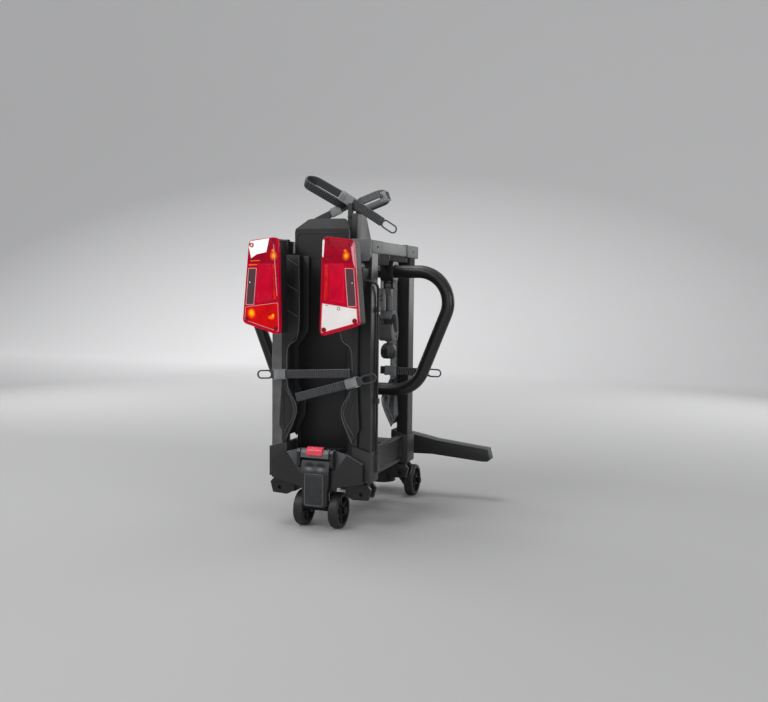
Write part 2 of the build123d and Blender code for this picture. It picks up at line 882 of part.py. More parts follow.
def mast():
    """The post that carries the hoop and, on two arms, the number-plate board."""
    body = rod_z(0, hoop_y, beam_high_z, mast_high_z, mast_r)
    body -= rod_z(0, hoop_y, beam_high_z + mast_cap, mast_high_z - mast_cap, mast_r - mast_wall)
    body += rod_z(0, hoop_y, beam_high_z, beam_high_z + mast_cap, mast_r + mast_flange)
    for z in board_arm_zs:
        back = hoop_y - mast_r + mast_wall - 0.5
        body += block(
            -board_arm_half, board_arm_half, board_y + board_thickness, back,
            z - board_arm_half, z + board_arm_half,
        )
    for z in (hoop_low_z, hoop_top_z):
        body -= rod_x(-mast_r - 1, mast_r + 1, hoop_y, z, hoop_r + pin_gap)
    return body


def plate_board():
    """The number-plate board: a moulded frame round a sunk panel with two screw holes."""
    front = board_y
    back = board_y + board_thickness
    outline = [
        (board_centre_x - board_low_half, board_low_z), (board_centre_x + board_low_half, board_low_z),
        (board_centre_x + board_high_half, board_high_z), (board_centre_x - board_high_half, board_high_z),
    ]
    body = face_slab(outline, front, back)
    body = fillet(body.edges().filter_by(Axis.Y), board_corner_r)
    half_width = panel_width / 2
    half_height = panel_height / 2
    middle = board_high_z - board_top_rim - half_height
    panel = block(
        board_centre_x - half_width, board_centre_x + half_width, front - 1, front + panel_depth,
        middle - half_height, middle + half_height,
    )
    body -= rounded(panel, Axis.Y, panel_corner_r)
    inner = board_hollow_wall
    hollow = block(
        board_centre_x - half_width + inner, board_centre_x + half_width - inner,
        front + panel_depth + inner, back - inner, middle - half_height + inner, middle + half_height - inner,
    )
    body -= hollow
    for sign in (-1, 1):
        z = middle + sign * panel_hole_pitch / 2
        body += rod_y(board_centre_x, front + panel_depth, back, z, panel_hole_r + board_boss)
        body -= rod_y(board_centre_x, front, back + 1, z, panel_hole_r)
    return body


def make_mast():
    pieces["bike_hoop"] = hoop()
    pieces["mast"] = mast()
    pieces["plate_board"] = plate_board()


# Rear cover and pedal

def cover():
    """The bow-tie cover across the cross member, with two posts for the pedal's pin."""
    x = cover_outer_x
    end_low, end_high = cover_end_z
    half_outline = [
        (cover_crown_x, cover_crown_z), (cover_shoulder_x, cover_shoulder_z), (x, end_high),
        (x, end_low), (cover_low_half, cover_low_z),
    ]
    outline = half_outline + [(-px, pz) for px, pz in reversed(half_outline)]
    body = face_slab(outline, cover_front_y, cover_back_y)
    inner = post_inner_x
    bay_y = cover_back_y - cover_step
    body -= block(-inner, inner, cover_front_y - 1, bay_y, cover_low_z - 1, cover_crown_z + 1)
    body += block(-inner - 1, inner + 1, bay_y, cover_back_y, cover_low_z, cover_crown_z)
    edge = inner + post_width + cover_skin
    pocket = [
        (x - cover_skin, end_high - 2), (cover_shoulder_x, cover_shoulder_z - cover_skin),
        (edge, cover_crown_z - 4), (edge, cover_low_z + 5), (x - cover_skin, end_low + 2),
    ]
    post_side = [
        (cover_back_y, post_low_z), (cover_back_y, post_high_z), (cover_post_y + 4, post_high_z),
        (cover_post_y, post_high_z - 6), (cover_post_y, pedal_pin_z - 6),
        (cover_post_y + 6, pedal_pin_z - 12),
    ]
    for sign in (-1, 1):
        side = [(sign * px, pz) for px, pz in pocket]
        body -= face_slab(side, cover_front_y + cover_skin, cover_back_y + 1)
        body += side_slab(post_side, sign * inner, sign * (inner + post_width))
        body += block(
            sign * (inner + 4), sign * (inner + post_width), cover_back_y - 1, member_inset,
            stay_low_z, beam_high_z - 4,
        )
    return body - rod_x(-edge, edge, pedal_pin_y, pedal_pin_z, pedal_pin_r)


def pedal():
    """The foot pedal: a tongue that narrows to its toe and swings out about its pin."""
    half = pedal_half - seat_gap
    toe = pedal_toe_half
    bevel = pedal_toe_bevel
    shoulder_z = pedal_taper_z + pedal_shoulder
    half_outline = [
        (half, pedal_top_z), (half, shoulder_z), (toe, pedal_taper_z), (toe, pedal_toe_z + bevel),
        (toe - bevel, pedal_toe_z),
    ]
    outline = half_outline + [(-px, pz) for px, pz in reversed(half_outline)]
    body = face_slab(outline, pedal_front_y, pedal_back_y)
    wall = pedal_wall
    body -= block(
        -toe + wall, toe - wall, pedal_front_y + wall, pedal_back_y + 1,
        pedal_toe_z + 3 * wall, pedal_pin_z - pedal_boss,
    )
    behind = [
        (pedal_back_y, pedal_pin_z), (pedal_back_y + 1, pedal_pin_z),
        (pedal_back_y + 1, pedal_top_z + 1), (pedal_pin_y + 2, pedal_top_z + 1),
        (pedal_pin_y + 2, pedal_top_z),
    ]
    body -= side_slab(behind, -half - 1, half + 1)
    return body - rod_x(-half - 1, half + 1, pedal_pin_y, pedal_pin_z, pedal_pin_r + pin_gap)


def pedal_pad():
    """The rubber tread on the pedal."""
    low = pedal_toe_z + pedal_pad_gap
    pad = block(
        -pedal_pad_half, pedal_pad_half, pedal_front_y - pedal_pad_thickness, pedal_front_y,
        low, low + pedal_pad_length,
    )
    return rounded(pad, Axis.Y, pedal_pad_corner)


def latch_lid():
    """The fixed lid above the pedal, notched for the release button."""
    half = pedal_half - 2 * seat_gap
    bay_y = cover_back_y - cover_step
    outline = [
        (bay_y, lid_low_z), (bay_y, lid_high_z), (cover_post_y + 4, lid_high_z),
        (pedal_front_y - 1, lid_high_z - 8), (pedal_front_y - 1, lid_low_z),
    ]
    body = side_slab(outline, -half, half)
    notch = block(
        -button_half - seat_gap, button_half + seat_gap, pedal_front_y - 2, bay_y - 2,
        lid_high_z - lid_notch, lid_high_z + 1,
    )
    return body - notch


def release_button():
    """The red button that is pushed in to free the pedal."""
    low = lid_high_z - lid_notch + seat_gap
    back = cover_back_y - cover_step - 2 - seat_gap - button_travel
    front = pedal_front_y - 4
    outline = [
        (front, low), (front, button_high_z - button_bevel), (front + button_bevel, button_high_z),
        (back, button_high_z), (back, low),
    ]
    return side_slab(outline, -button_half, button_half)


def make_pedal():
    pieces["rear_cover"] = cover()
    pieces["foot_pedal"] = pedal()
    pieces["pedal_pad"] = pedal_pad()
    pieces["latch_lid"] = latch_lid()
    pieces["release_button"] = release_button()


# Tow coupling

def coupling():
    """The coupling head: a tilt lug, a shell over the ball jaw, and ears for the lever."""
    lug_half = fork_ear_x - ear_gap
    body = block(-lug_half, lug_half, tilt_y, coupling_start_y + 1, tilt_z - 13, tilt_z + 13)
    body += rod_x(-lug_half, lug_half, tilt_y, tilt_z, 13.0)
    shell = block(
        -coupling_half, coupling_half, coupling_start_y, coupling_end_y, coupling_shoulder_z, coupling_high_z,
    )
    shell = rounded(shell, Axis.Z, 10.0)
    body += shell
    body += rod_z(0, ball_y, coupling_low_z, coupling_shoulder_z + 1, jaw_r)
    for start in (lever_front_y - ear_gap - lever_ear, lever_front_y + lever_width + ear_gap):
        body += block(
            coupling_half - 4, lever_pin_x, start, start + lever_ear, lever_pin_z - 16, lever_pin_z + 12,
        )
        body += rod_y(lever_pin_x, start, start + lever_ear, lever_pin_z, 12.0)
    body -= rod_x(-60, 60, tilt_y, tilt_z, tilt_pin_r + pin_gap)
    body -= rod_z(0, ball_y, coupling_low_z - 1, coupling_low_z + ball_socket_depth, ball_socket_r)
    ends = (lever_front_y - lever_ear - 2, lever_front_y + lever_width + lever_ear + 2)
    return body + rod_y(lever_pin_x, ends[0], ends[1], lever_pin_z, lever_pin_r)


def coupling_lever():
    """The long locking handle, deep at its root and slim at its tip, open underneath."""
    back = lever_front_y + lever_width
    root_high = lever_pin_z + lever_top[0][1]
    root_low = lever_pin_z - lever_top[0][1]
    top = [(x, lever_pin_z + z) for x, z in lever_top]
    foot = [(x, lever_pin_z + z) for x, z in lever_foot]
    tip = (lever_tip_x, foot[-1][1] + 5)
    body = face_slab(
        [(lever_root_x, root_low)] + foot + [tip] + top[::-1] + [(lever_root_x, root_high)],
        lever_front_y, back,
    )
    neck = lever_ear + 6
    body += face_slab(
        [
            (lever_pin_x, lever_pin_z - neck), (lever_root_x + 1, root_low + 5),
            (lever_root_x + 1, root_high - 5), (lever_pin_x, lever_pin_z + neck),
        ],
        lever_front_y, back,
    )
    body += rod_y(lever_pin_x, lever_front_y, back, lever_pin_z, neck)
    channel = [(x - lever_wall, z - lever_channel) for x, z in top]
    below = foot[1][1] - 6
    body -= face_slab(
        [(channel[0][0], below)] + channel + [(channel[-1][0], below)],
        lever_front_y + lever_wall, back - lever_wall,
    )
    return body - rod_y(lever_pin_x, lever_front_y - 1, back + 1, lever_pin_z, lever_pin_r + pin_gap)


def make_coupling():
    pieces["coupling_head"] = coupling()
    pieces["coupling_lever"] = coupling_lever()


# Bike clamps

def clamp_block(x, half, up):
    """A split block on the hoop's top bar, with two lugs for the arm's pin."""
    body = block(
        x - half, x + half, hoop_y - clamp_y_half, hoop_y + clamp_y_half,
        hoop_top_z - clamp_z_half, hoop_top_z + clamp_z_half,
    )
    body = rounded(body, Axis.X, 10.0)
    body -= rod_x(x - half - 1, x + half + 1, hoop_y, hoop_top_z, hoop_r + pin_gap)
    pin_z = hoop_top_z + up * arm_pin_drop
    inner = arm_tongue_half + ear_gap
    for sign in (-1, 1):
        x0 = x + sign * inner
        x1 = x + sign * (inner + arm_lug)
        lug = block(
            x0, x1, hoop_y - arm_eye_r, hoop_y + arm_eye_r, hoop_top_z + up * (clamp_z_half - 2), pin_z,
        )
        body += lug + rod_x(x0, x1, hoop_y, pin_z, arm_eye_r)
    body += rod_x(x - inner - arm_lug, x + inner + arm_lug, hoop_y, pin_z, arm_pin_r)
    return body


def arm_tongue(x, up):
    """The flat end of a clamp arm on the block's pin."""
    pin_z = hoop_top_z + up * arm_pin_drop
    body = rod_x(x - arm_tongue_half, x + arm_tongue_half, hoop_y, pin_z, arm_eye_r)
    body += block(
        x - arm_tongue_half, x + arm_tongue_half, hoop_y - arm_eye_r + 1, hoop_y + arm_eye_r - 1,
        pin_z, pin_z + up * arm_neck,
    )
    return body - rod_x(x - arm_tongue_half - 1, x + arm_tongue_half + 1, hoop_y, pin_z, arm_pin_r + pin_gap)


def low_arm():
    """The arm that hangs from the hoop: rod, ribbed claw and rounded jaw body."""
    x = low_clamp_x
    body = arm_tongue(x, -1)
    rod_top = hoop_top_z - arm_pin_drop - arm_neck + 6
    body += rod_z(x, hoop_y, claw_high_z - 6, rod_top, arm_rod_r)
    front = hoop_y - claw_front
    back = hoop_y + claw_back
    slant = claw_slant
    claw = side_slab(
        [
            (front, claw_high_z - slant), (front + slant - 2, claw_high_z), (back - slant + 2, claw_high_z),
            (back, claw_high_z - slant + 4), (back, claw_low_z + slant - 2), (back - slant, claw_low_z),
            (front + slant + 2, claw_low_z), (front + 2, claw_low_z + slant - 4),
            (front, claw_low_z + 2 * slant - 2),
        ],
        x - claw_half, x + claw_half,
    )
    mouth_z = (claw_high_z + claw_low_z) / 2 + 6
    body += claw - rod_x(x - claw_half - 1, x + claw_half + 1, front + 10, mouth_z, claw_mouth_r)
    stud_low = claw_low_z - knob_gap - knob_length + 6
    return body + rod_z(x, hoop_y, stud_low, claw_low_z + 1, arm_stud_r)


def low_knob():
    """The knob under the claw that winds its jaw."""
    top = claw_low_z - knob_gap
    low = top - knob_length
    body = rod_z(low_clamp_x, hoop_y, low, top, knob_r)
    for index in range(knob_flutes):
        angle = 2 * math.pi * index / knob_flutes
        x = low_clamp_x + (knob_r + 2) * math.cos(angle)
        y = hoop_y + (knob_r + 2) * math.sin(angle)
        body -= rod_z(x, y, low - 1, top + 1, knob_flute_r)
    return body - rod_z(low_clamp_x, hoop_y, low + 3, top + 1, arm_stud_r + pin_gap)


def top_arm():
    """The arm that stands on the hoop: a neck on the pin, and a deep plate that narrows to the top."""
    foot_z = hoop_top_z + plate_foot
    top_z = hoop_top_z + plate_rise
    near = hoop_y - plate_back_high
    far = hoop_y + plate_back_high
    body = arm_tongue(top_clamp_x, 1)
    body += block(plate_near_x, top_clamp_x + arm_tongue_half, near, far, foot_z, foot_z + 20)
    plate = [
        (hoop_y - plate_front, foot_z + 14), (near, foot_z), (far, foot_z),
        (hoop_y + plate_back, hoop_top_z + plate_knee), (far, top_z), (hoop_y - plate_front, top_z),
    ]
    return body + side_slab(plate, plate_near_x, plate_far_x) + arm_head()


def arm_head():
    """The strap anchor on the top arm."""
    return block(
        plate_near_x, plate_far_x, hoop_y - head_front, hoop_y + head_back,
        hoop_top_z + plate_rise - 4, hoop_top_z + head_rise,
    )


def arm_place(offset):
    """A place on the top arm, counted from the plate, the hoop's axis and its height."""
    return Vector(plate_near_x, hoop_y, hoop_top_z) + Vector(*offset)


def belt_loop(place, slope, size):
    """A closed band loop whose run climbs at a slope, with its far side tilted down."""
    turn = math.radians(slope)
    lean = math.radians(loop_tilt)
    along = Vector(math.cos(turn), 0, math.sin(turn))
    across = Vector(-math.sin(turn), 0, math.cos(turn))
    width_dir = across * math.cos(lean) + Vector(0, 1, 0) * math.sin(lean)
    plane = Plane(origin=arm_place(place), x_dir=along, z_dir=width_dir)
    length, depth = size
    inside = SlotOverall(length - 2 * band_thickness, depth - 2 * band_thickness)
    return extrude(plane * (SlotOverall(length, depth) - inside), amount=band_width / 2, both=True)


def top_straps():
    """The top arm's two strap loops, the long tail with its ring, and the short strap."""
    left = belt_loop(loop_left_place, loop_left_slope, loop_left_size)
    right = belt_loop(loop_right_place, loop_right_slope, loop_right_size)
    half = band_width / 2
    skin = band_thickness
    length, depth, width = buckle_size
    buckle = block(-length, length, skin - depth + 3, skin + 3, -width, width)
    level = skin - depth + 3
    buckle += block(0, tail_length, level, level + skin, -half, half)
    ring = mirror(pull_ring(1 - tail_length - tail_ring, tail_ring), about=Plane.YZ)
    buckle += Pos(0, level + skin + buckle_floor, 0) * ring
    long_strap = Pos(*arm_place(buckle_place)) * Rot(0, -buckle_slope, 0) * buckle
    length, depth, width = catch_size
    catch = block(-length, length, -depth, depth, -width, width)
    catch = Pos(*arm_place(catch_place)) * Rot(0, -catch_slope, 0) * catch
    down, up = short_reach
    length, depth, width = clasp_size
    short = block(-down, up, -skin, 0, 1 - half, half - 1)
    short += block(-length, length, -depth, 0, -width, width)
    short = Pos(*arm_place(short_place)) * Rot(0, -short_slope, 0) * short
    neck_z = hoop_top_z + head_rise
    neck = block(
        plate_near_x - neck_reach, plate_far_x, hoop_y - head_front, hoop_y - head_front + neck_depth,
        neck_z - neck_reach, neck_z + neck_rise,
    )
    return left + right + long_strap + catch + short + neck - arm_head()


def make_clamps():
    pieces["low_clamp_block"] = clamp_block(low_clamp_x, low_clamp_half, -1)
    pieces["low_clamp_arm"] = low_arm()
    pieces["low_clamp_knob"] = low_knob()
    pieces["top_clamp_block"] = clamp_block(top_clamp_x, top_clamp_half, 1)
    pieces["top_clamp_arm"] = top_arm()
    pieces["top_straps"] = top_straps()


# Coiled cable

def coil_centre():
    return Vector(0, hoop_y, beam_high_z + cable_r + socket_gap)


def coil_route():
    """One line: out of the junction box, round the mast in a flat spiral, and up to the plug."""
    centre = coil_centre()
    lead_offset = coil_inner_r - coil_lead_r
    sine = (gland_y + coil_lead_r - centre.Y) / lead_offset
    start_angle = math.degrees(math.asin(sine))
    radial = Vector(math.cos(math.radians(start_angle)), math.sin(math.radians(start_angle)), 0)
    lead_centre = centre + radial * lead_offset
    edges = [Line((box_half - 6, gland_y, centre.Z), (lead_centre.X, gland_y, centre.Z))]
    edges.append(CenterArc(lead_centre, coil_lead_r, -90, start_angle + 90))
    step = coil_pitch / 2
    hub = centre
    radius = coil_inner_r
    for index in range(coil_half_turns):
        edges.append(CenterArc(hub, radius, start_angle + 180 * index, 180))
        direction = 1 if index % 2 == 0 else -1
        hub = hub + radial * (step * direction)
        radius = radius + step
    last_arc = 58.0
    edges.append(CenterArc(hub, radius, start_angle, last_arc))
    leave = edges[-1] @ 1
    heading = edges[-1] % 1
    end_x = plug_x - plug_bore
    rise = [
        leave, leave + heading * 40, Vector(end_x + 50, plug_y - 7, beam_high_z + plug_r - 8),
        Vector(end_x + 26, plug_y, beam_high_z + plug_r), Vector(end_x, plug_y, beam_high_z + plug_r),
    ]
    radii = smooth_radii([tuple(p) for p in rise])
    edges.append(FilletPolyline(*rise, radius=radii))
    turn_gap = round(coil_pitch - 2 * cable_r, 2)
    print("cable radii", [round(r, 1) for r in radii], "least gap between turns", turn_gap)
    return Wire([edge for line in edges for edge in line.edges()])


def cable_coil():
    route = coil_route()
    section = Plane(origin=route @ 0, z_dir=route % 0) * Circle(cable_r)
    tube = sweep(section, path=route)
    ideal = math.pi * cable_r ** 2 * route.length
    print("cable length", round(route.length), "volume ratio", round(tube.volume / ideal, 5))
    return tube


def cable_plug():
    """The plug on the cable's end: a ribbed grip and a wider front with a flange."""
    z = beam_high_z + plug_r
    body = rod_x(plug_x - plug_length, plug_x - plug_bore + 2, plug_y, z, plug_r - socket_gap)
    body += rod_x(plug_x - plug_bore - 2, plug_x, plug_y, z, plug_r * 0.6)
    return body - rod_x(plug_x - plug_bore, plug_x + 1, plug_y, z, cable_r + pin_gap)


def junction_box():
    """The small box on the beam where the cable starts, with its gland."""
    body = block(-box_half, box_half - 6, gland_y - 13, gland_y + 12, beam_high_z, beam_high_z + 24)
    body = rounded(body, Axis.Z, 3.0)
    return body


def make_cable():
    pieces["trailer_cable"] = cable_coil()
    pieces["trailer_plug"] = cable_plug()
    pieces["junction_box"] = junction_box()


make_wings()
make_frame()
make_mast()
make_pedal()
make_coupling()
make_clamps()
make_cable()

os.makedirs("parts", exist_ok=True)
to_ball = Pos(0, -ball_y, -ball_z)
for name, shape in pieces.items():
    export_step(to_ball * shape, f"parts/{name}.step")
print(len(pieces), "pieces")
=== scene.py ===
import json
import math

import bmesh
import bpy
from mathutils import Matrix, Vector


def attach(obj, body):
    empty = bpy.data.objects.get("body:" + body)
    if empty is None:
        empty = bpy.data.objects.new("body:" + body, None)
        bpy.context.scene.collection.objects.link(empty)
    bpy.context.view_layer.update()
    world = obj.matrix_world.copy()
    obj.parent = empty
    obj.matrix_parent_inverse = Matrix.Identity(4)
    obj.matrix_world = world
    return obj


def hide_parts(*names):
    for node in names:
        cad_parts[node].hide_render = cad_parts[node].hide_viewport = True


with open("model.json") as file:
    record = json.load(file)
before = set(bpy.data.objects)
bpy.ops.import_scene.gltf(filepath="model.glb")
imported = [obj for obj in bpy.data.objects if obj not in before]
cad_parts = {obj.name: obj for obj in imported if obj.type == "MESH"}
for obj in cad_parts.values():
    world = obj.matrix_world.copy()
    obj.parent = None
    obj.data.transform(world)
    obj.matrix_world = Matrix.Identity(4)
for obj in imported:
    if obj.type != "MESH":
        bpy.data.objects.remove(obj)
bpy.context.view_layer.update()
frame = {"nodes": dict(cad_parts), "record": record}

# Places are written in the drawing's millimetres: X from the middle, Y from the front trays, Z from
# the floor. The frame's own origin is the centre of the tow ball.
BALL = Vector((0, 444, 47))


def at(x, y, z):
    """A place of the drawing, in metres from the tow ball."""
    return (Vector((x, y, z)) - BALL) * 0.001


# Materials

class Signal:
    """A shader value that takes part in plain arithmetic."""

    def __init__(self, finish, socket):
        self.finish = finish
        self.socket = socket

    def maths(self, operation, *values):
        return self.finish.signal("ShaderNodeMath", {"operation": operation}, dict(enumerate(values)))

    def __add__(self, other):
        return self.maths("ADD", self, other)

    def __radd__(self, other):
        return self.maths("ADD", other, self)

    def __sub__(self, other):
        return self.maths("SUBTRACT", self, other)

    def __rsub__(self, other):
        return self.maths("SUBTRACT", other, self)

    def __mul__(self, other):
        return self.maths("MULTIPLY", self, other)

    def __rmul__(self, other):
        return self.maths("MULTIPLY", other, self)

    def __abs__(self):
        return self.maths("ABSOLUTE", self)

    def root(self):
        return self.maths("SQRT", self)


class Finish:
    """A material: the nodes that it is mixed from, and the surface shader that they feed."""

    def __init__(self, name, colour, roughness, metallic=0, sockets=None):
        self.material = bpy.data.materials.new(name)
        self.material.use_nodes = True
        self.tree = self.material.node_tree
        self.shader = self.tree.nodes["Principled BSDF"]
        self.colour = colour
        self.roughness = roughness
        self.base = (*colour, 1)
        # Whether the emission follows the base colour, as a painted glow.
        self.has_painted_glow = False
        plain = {"Base Color": self.base, "Roughness": roughness, "Metallic": metallic}
        for key, value in {**plain, **(sockets or {})}.items():
            self.feed(key, value)

    def feed(self, key, value):
        self.set_input(self.shader.inputs[key], value)

    def set_input(self, socket, value):
        if isinstance(value, Signal):
            value = value.socket
        if isinstance(value, bpy.types.NodeSocket):
            self.tree.links.new(value, socket)
        else:
            socket.default_value = value

    def node(self, kind, settings=None, inputs=None):
        """Adds a node, sets its settings and then its sockets."""
        node = self.tree.nodes.new(kind)
        for key, value in (settings or {}).items():
            if key == "stops":
                self.set_stops(node.color_ramp, value)
            else:
                setattr(node, key, value)
        for key, value in (inputs or {}).items():
            self.set_input(node.inputs[key], value)
        return node

    def set_stops(self, ramp, stops):
        while len(ramp.elements) < len(stops):
            ramp.elements.new(0.5)
        for element, (position, level) in zip(ramp.elements, stops):
            element.position = position
            element.color = (level, level, level, 1)

    def signal(self, kind, settings=None, inputs=None, output=0):
        return Signal(self, self.node(kind, settings, inputs).outputs[output])

    def place(self):
        """Where a surface point is, in metres from the tow ball."""
        return self.node("ShaderNodeTexCoord").outputs["Object"]

    def stretched(self, x, y, z):
        """The place, multiplied along each axis."""
        inputs = {0: self.place(), 1: (x, y, z)}
        return self.node("ShaderNodeVectorMath", {"operation": "MULTIPLY"}, inputs).outputs[0]

    def axis(self, letter):
        return self.signal("ShaderNodeSeparateXYZ", None, {0: self.place()}, letter)

    def speckle(self, scale, detail=2, where=None):
        """Noise from 0 to 1, with a grain size of one metre over its scale."""
        inputs = {"Vector": where or self.place(), "Scale": scale, "Detail": detail}
        return self.signal("ShaderNodeTexNoise", None, inputs)

    def ramp(self, value, *stops):
        return self.signal("ShaderNodeValToRGB", {"stops": stops}, {0: value})

    def tint(self, amount, colour):
        """Mixes a colour into the base colour, by a signal."""
        inputs = {0: amount, 6: self.base, 7: (*colour, 1)}
        self.base = self.node("ShaderNodeMix", {"data_type": "RGBA"}, inputs).outputs[2]
        self.feed("Base Color", self.base)
        # A painted glow takes the same colour as the base.
        if self.has_painted_glow:
            self.feed("Emission Color", self.base)

    def patches(self, noise, low, high, most, gain, lift=0):
        """Shifts the base colour where a noise is high."""
        self.tint(self.ramp(noise, (low, 0), (high, most)), [c * gain + lift for c in self.colour])

    def dust_and_sheen(self, colour, amount, noise, *stops):
        """A pale tint by how far a surface faces up: a dusting, and a painted sheen of light from overhead.
        """
        normal = self.node("ShaderNodeNewGeometry").outputs["Normal"]
        upward = self.signal("ShaderNodeSeparateXYZ", None, {0: normal}, "Z")
        self.tint(self.ramp(upward, *stops) * noise * amount, colour)

    def roughen(self, noise, span, offset):
        self.feed("Roughness", noise * span + (self.roughness + offset))

    def emboss(self, height, distance, strength):
        """Adds relief of a height in metres to the surface."""
        inputs = {"Height": height, "Distance": distance, "Strength": strength}
        self.feed("Normal", self.node("ShaderNodeBump", None, inputs).outputs[0])


def powder_coat(name, colour, roughness):
    """Baked paint on metal: fine orange peel, slow changes of tone, and a little dusting with a painted sheen
    on top.
    """
    finish = Finish(name, colour, roughness)
    finish.patches(finish.speckle(14, 3), 0.35, 0.75, 0.35, 1.5, 0.002)
    # Faces that look up are paler: a dusting, and a painted sheen of light from overhead.
    stops = ((0.3, 0), (0.6, 1), (0.85, 1), (0.98, 0.2))
    finish.dust_and_sheen((0.14, 0.142, 0.145), 0.5, finish.speckle(60, 4), *stops)
    finish.roughen(finish.speckle(300), 0.14, -0.07)
    finish.emboss(finish.speckle(1400), 0.00012, 0.35)
    return finish.material


def moulding(name, colour, roughness, grain=2200):
    """Grained plastic, with faint flow marks, and a dusting with a painted sheen on faces that look up."""
    finish = Finish(name, colour, roughness)
    finish.patches(finish.speckle(1, 3, finish.stretched(22, 22, 6)), 0.3, 0.8, 0.4, 1.5, 0.003)
    # Faces that look up are paler: a dusting, and a painted sheen of light from overhead.
    finish.dust_and_sheen((0.19, 0.194, 0.205), 0.45, finish.speckle(80, 4) * 0.4 + 0.8, (0.12, 0), (0.5, 1))
    finish.roughen(finish.speckle(180, 3), 0.2, -0.1)
    finish.emboss(finish.speckle(grain, 3), 0.0001, 0.5)
    return finish.material


def bright_metal(name, colour, roughness):
    """Turned or brushed metal, with fine marks along Z."""
    finish = Finish(name, colour, roughness, 1)
    marks = finish.speckle(1, 4, finish.stretched(900, 900, 60))
    finish.roughen(marks, 0.25, -0.1)
    finish.emboss(marks, 0.00006, 0.4)
    finish.patches(finish.speckle(40, 4), 0.5, 0.9, 0.5, 0.55)
    return finish.material


def rubber(name, colour, roughness):
    finish = Finish(name, colour, roughness)
    wear = finish.speckle(90, 4)
    finish.patches(wear, 0.45, 0.8, 0.4, 2.2, 0.01)
    finish.roughen(wear, 0.2, -0.1)
    finish.emboss(finish.speckle(2600, 3), 0.0001, 0.6)
    return finish.material


def gloss_plastic(name, colour, roughness, coat, glow=0):
    """Smooth plastic. A painted glow, an emission that stands in for light, brightens the clear lens pieces.
    """
    light = {"Emission Strength": glow, "Emission Color": (*colour, 1)}
    finish = Finish(name, colour, roughness, 0, {"Coat Weight": coat, "Coat Roughness": 0.08, **light})
    finish.patches(finish.speckle(30, 3), 0.4, 0.8, 0.3, 1.4, 0.002)
    finish.roughen(finish.speckle(120, 3), 0.12, -0.05)
    finish.emboss(finish.speckle(500), 0.00004, 0.25)
    return finish.material


# Amber: the amber bars, and the halo of the painted glow spots in the lenses.
AMBER_AND_PAINTED_GLOW = (1, 0.2, 0)
paints = {
    "frame_steel": powder_coat("Frame black", (0.007, 0.007, 0.0075), 0.34),
    "tray_metal": powder_coat("Tray black", (0.0125, 0.013, 0.014), 0.36),
    "bar_metal": powder_coat("Crossbar grey", (0.16, 0.162, 0.165), 0.45),
    "cast_metal": powder_coat("Cast black", (0.024, 0.024, 0.0245), 0.42),
    "pin_steel": bright_metal("Blackened steel", (0.025, 0.025, 0.026), 0.45),
    "coupling_metal": bright_metal("Coupling grey", (0.06, 0.06, 0.062), 0.45),
    "moulding": moulding("Black moulding", (0.0125, 0.0128, 0.0138), 0.42),
    "board": gloss_plastic("Board black", (0.0065, 0.0065, 0.0075), 0.5, 0),
    "band": moulding("Band grey", (0.04, 0.0415, 0.044), 0.46, 1500),
    "buckle": moulding("Buckle grey", (0.22, 0.235, 0.235), 0.4, 3000),
    "lens": gloss_plastic("Lens red", (0.42, 0.006, 0.018), 0.16, 1),
    "lamp_body": moulding("Lamp housing black", (0.013, 0.013, 0.0135), 0.5),
    "button": gloss_plastic("Button red", (0.85, 0.06, 0.1), 0.25, 0.5),
    "wheel": rubber("Wheel black", (0.0095, 0.0095, 0.01), 0.5),
    "pad": rubber("Pedal pad", (0.028, 0.029, 0.031), 0.5),
    "cable": rubber("Cable black", (0.009, 0.009, 0.0095), 0.4),
}
# A lighter grey for the black moulding of the latch lid and the pedal pad's rim: a painted sheen where the
# faces tilt up to the light.
painted_sheen_grey = moulding("Painted sheen grey", (0.11, 0.113, 0.12), 0.4)
# A pale grey: painted highlights along the cup beads and on the claw's hook and lip.
painted_highlight_grey = moulding("Painted highlight grey", (0.09, 0.092, 0.096), 0.4)
rail_black = rubber("Rail black", (0.005, 0.005, 0.005), 0.8)
claw_grey = powder_coat("Claw grey", (0.085, 0.086, 0.087), 0.45)
sleeve_grey = powder_coat("Sleeve grey", (0.13, 0.132, 0.135), 0.5)
# Painted shade: the left bracket and sleeves are painted black, the right ones grey.
bracket_paint_shaded_left = {"left": paints["frame_steel"], "right": sleeve_grey}
# Pale lens colours: painted highlights along the raised seams and along the edges of the lenses.
painted_seam_highlight = gloss_plastic("Lens seam", (0.8, 0.42, 0.44), 0.25, 0.6)
painted_edge_highlight = gloss_plastic("Lens edge", (0.8, 0.36, 0.4), 0.25, 0.6)
reflector_brown = gloss_plastic("Reflector prisms", (0.1, 0.04, 0.05), 0.22, 0.8)
screw_red = gloss_plastic("Screw wells", (0.1, 0, 0.008), 0.3, 0.6)
amber_plastic = gloss_plastic("Amber bars", AMBER_AND_PAINTED_GLOW, 0.3, 0.6)
slot_of = {entry["node"]: entry["material_slot"] for entry in frame["record"]["subparts"]}
body_of = {node: body for body, nodes in frame["record"]["behaviour"]["bodies"].items() for node in nodes}


# Mesh work. Shapes are drawn in the drawing's millimetres, and moved to the frame at the end.

TO_FRAME = Matrix.Scale(0.001, 4) @ Matrix.Translation(-BALL)
SIDES = {"left": -1, "right": 1}
done = set()


def linked(name, data):
    thing = bpy.data.objects.new(name, data)
    bpy.context.scene.collection.objects.link(thing)
    return thing


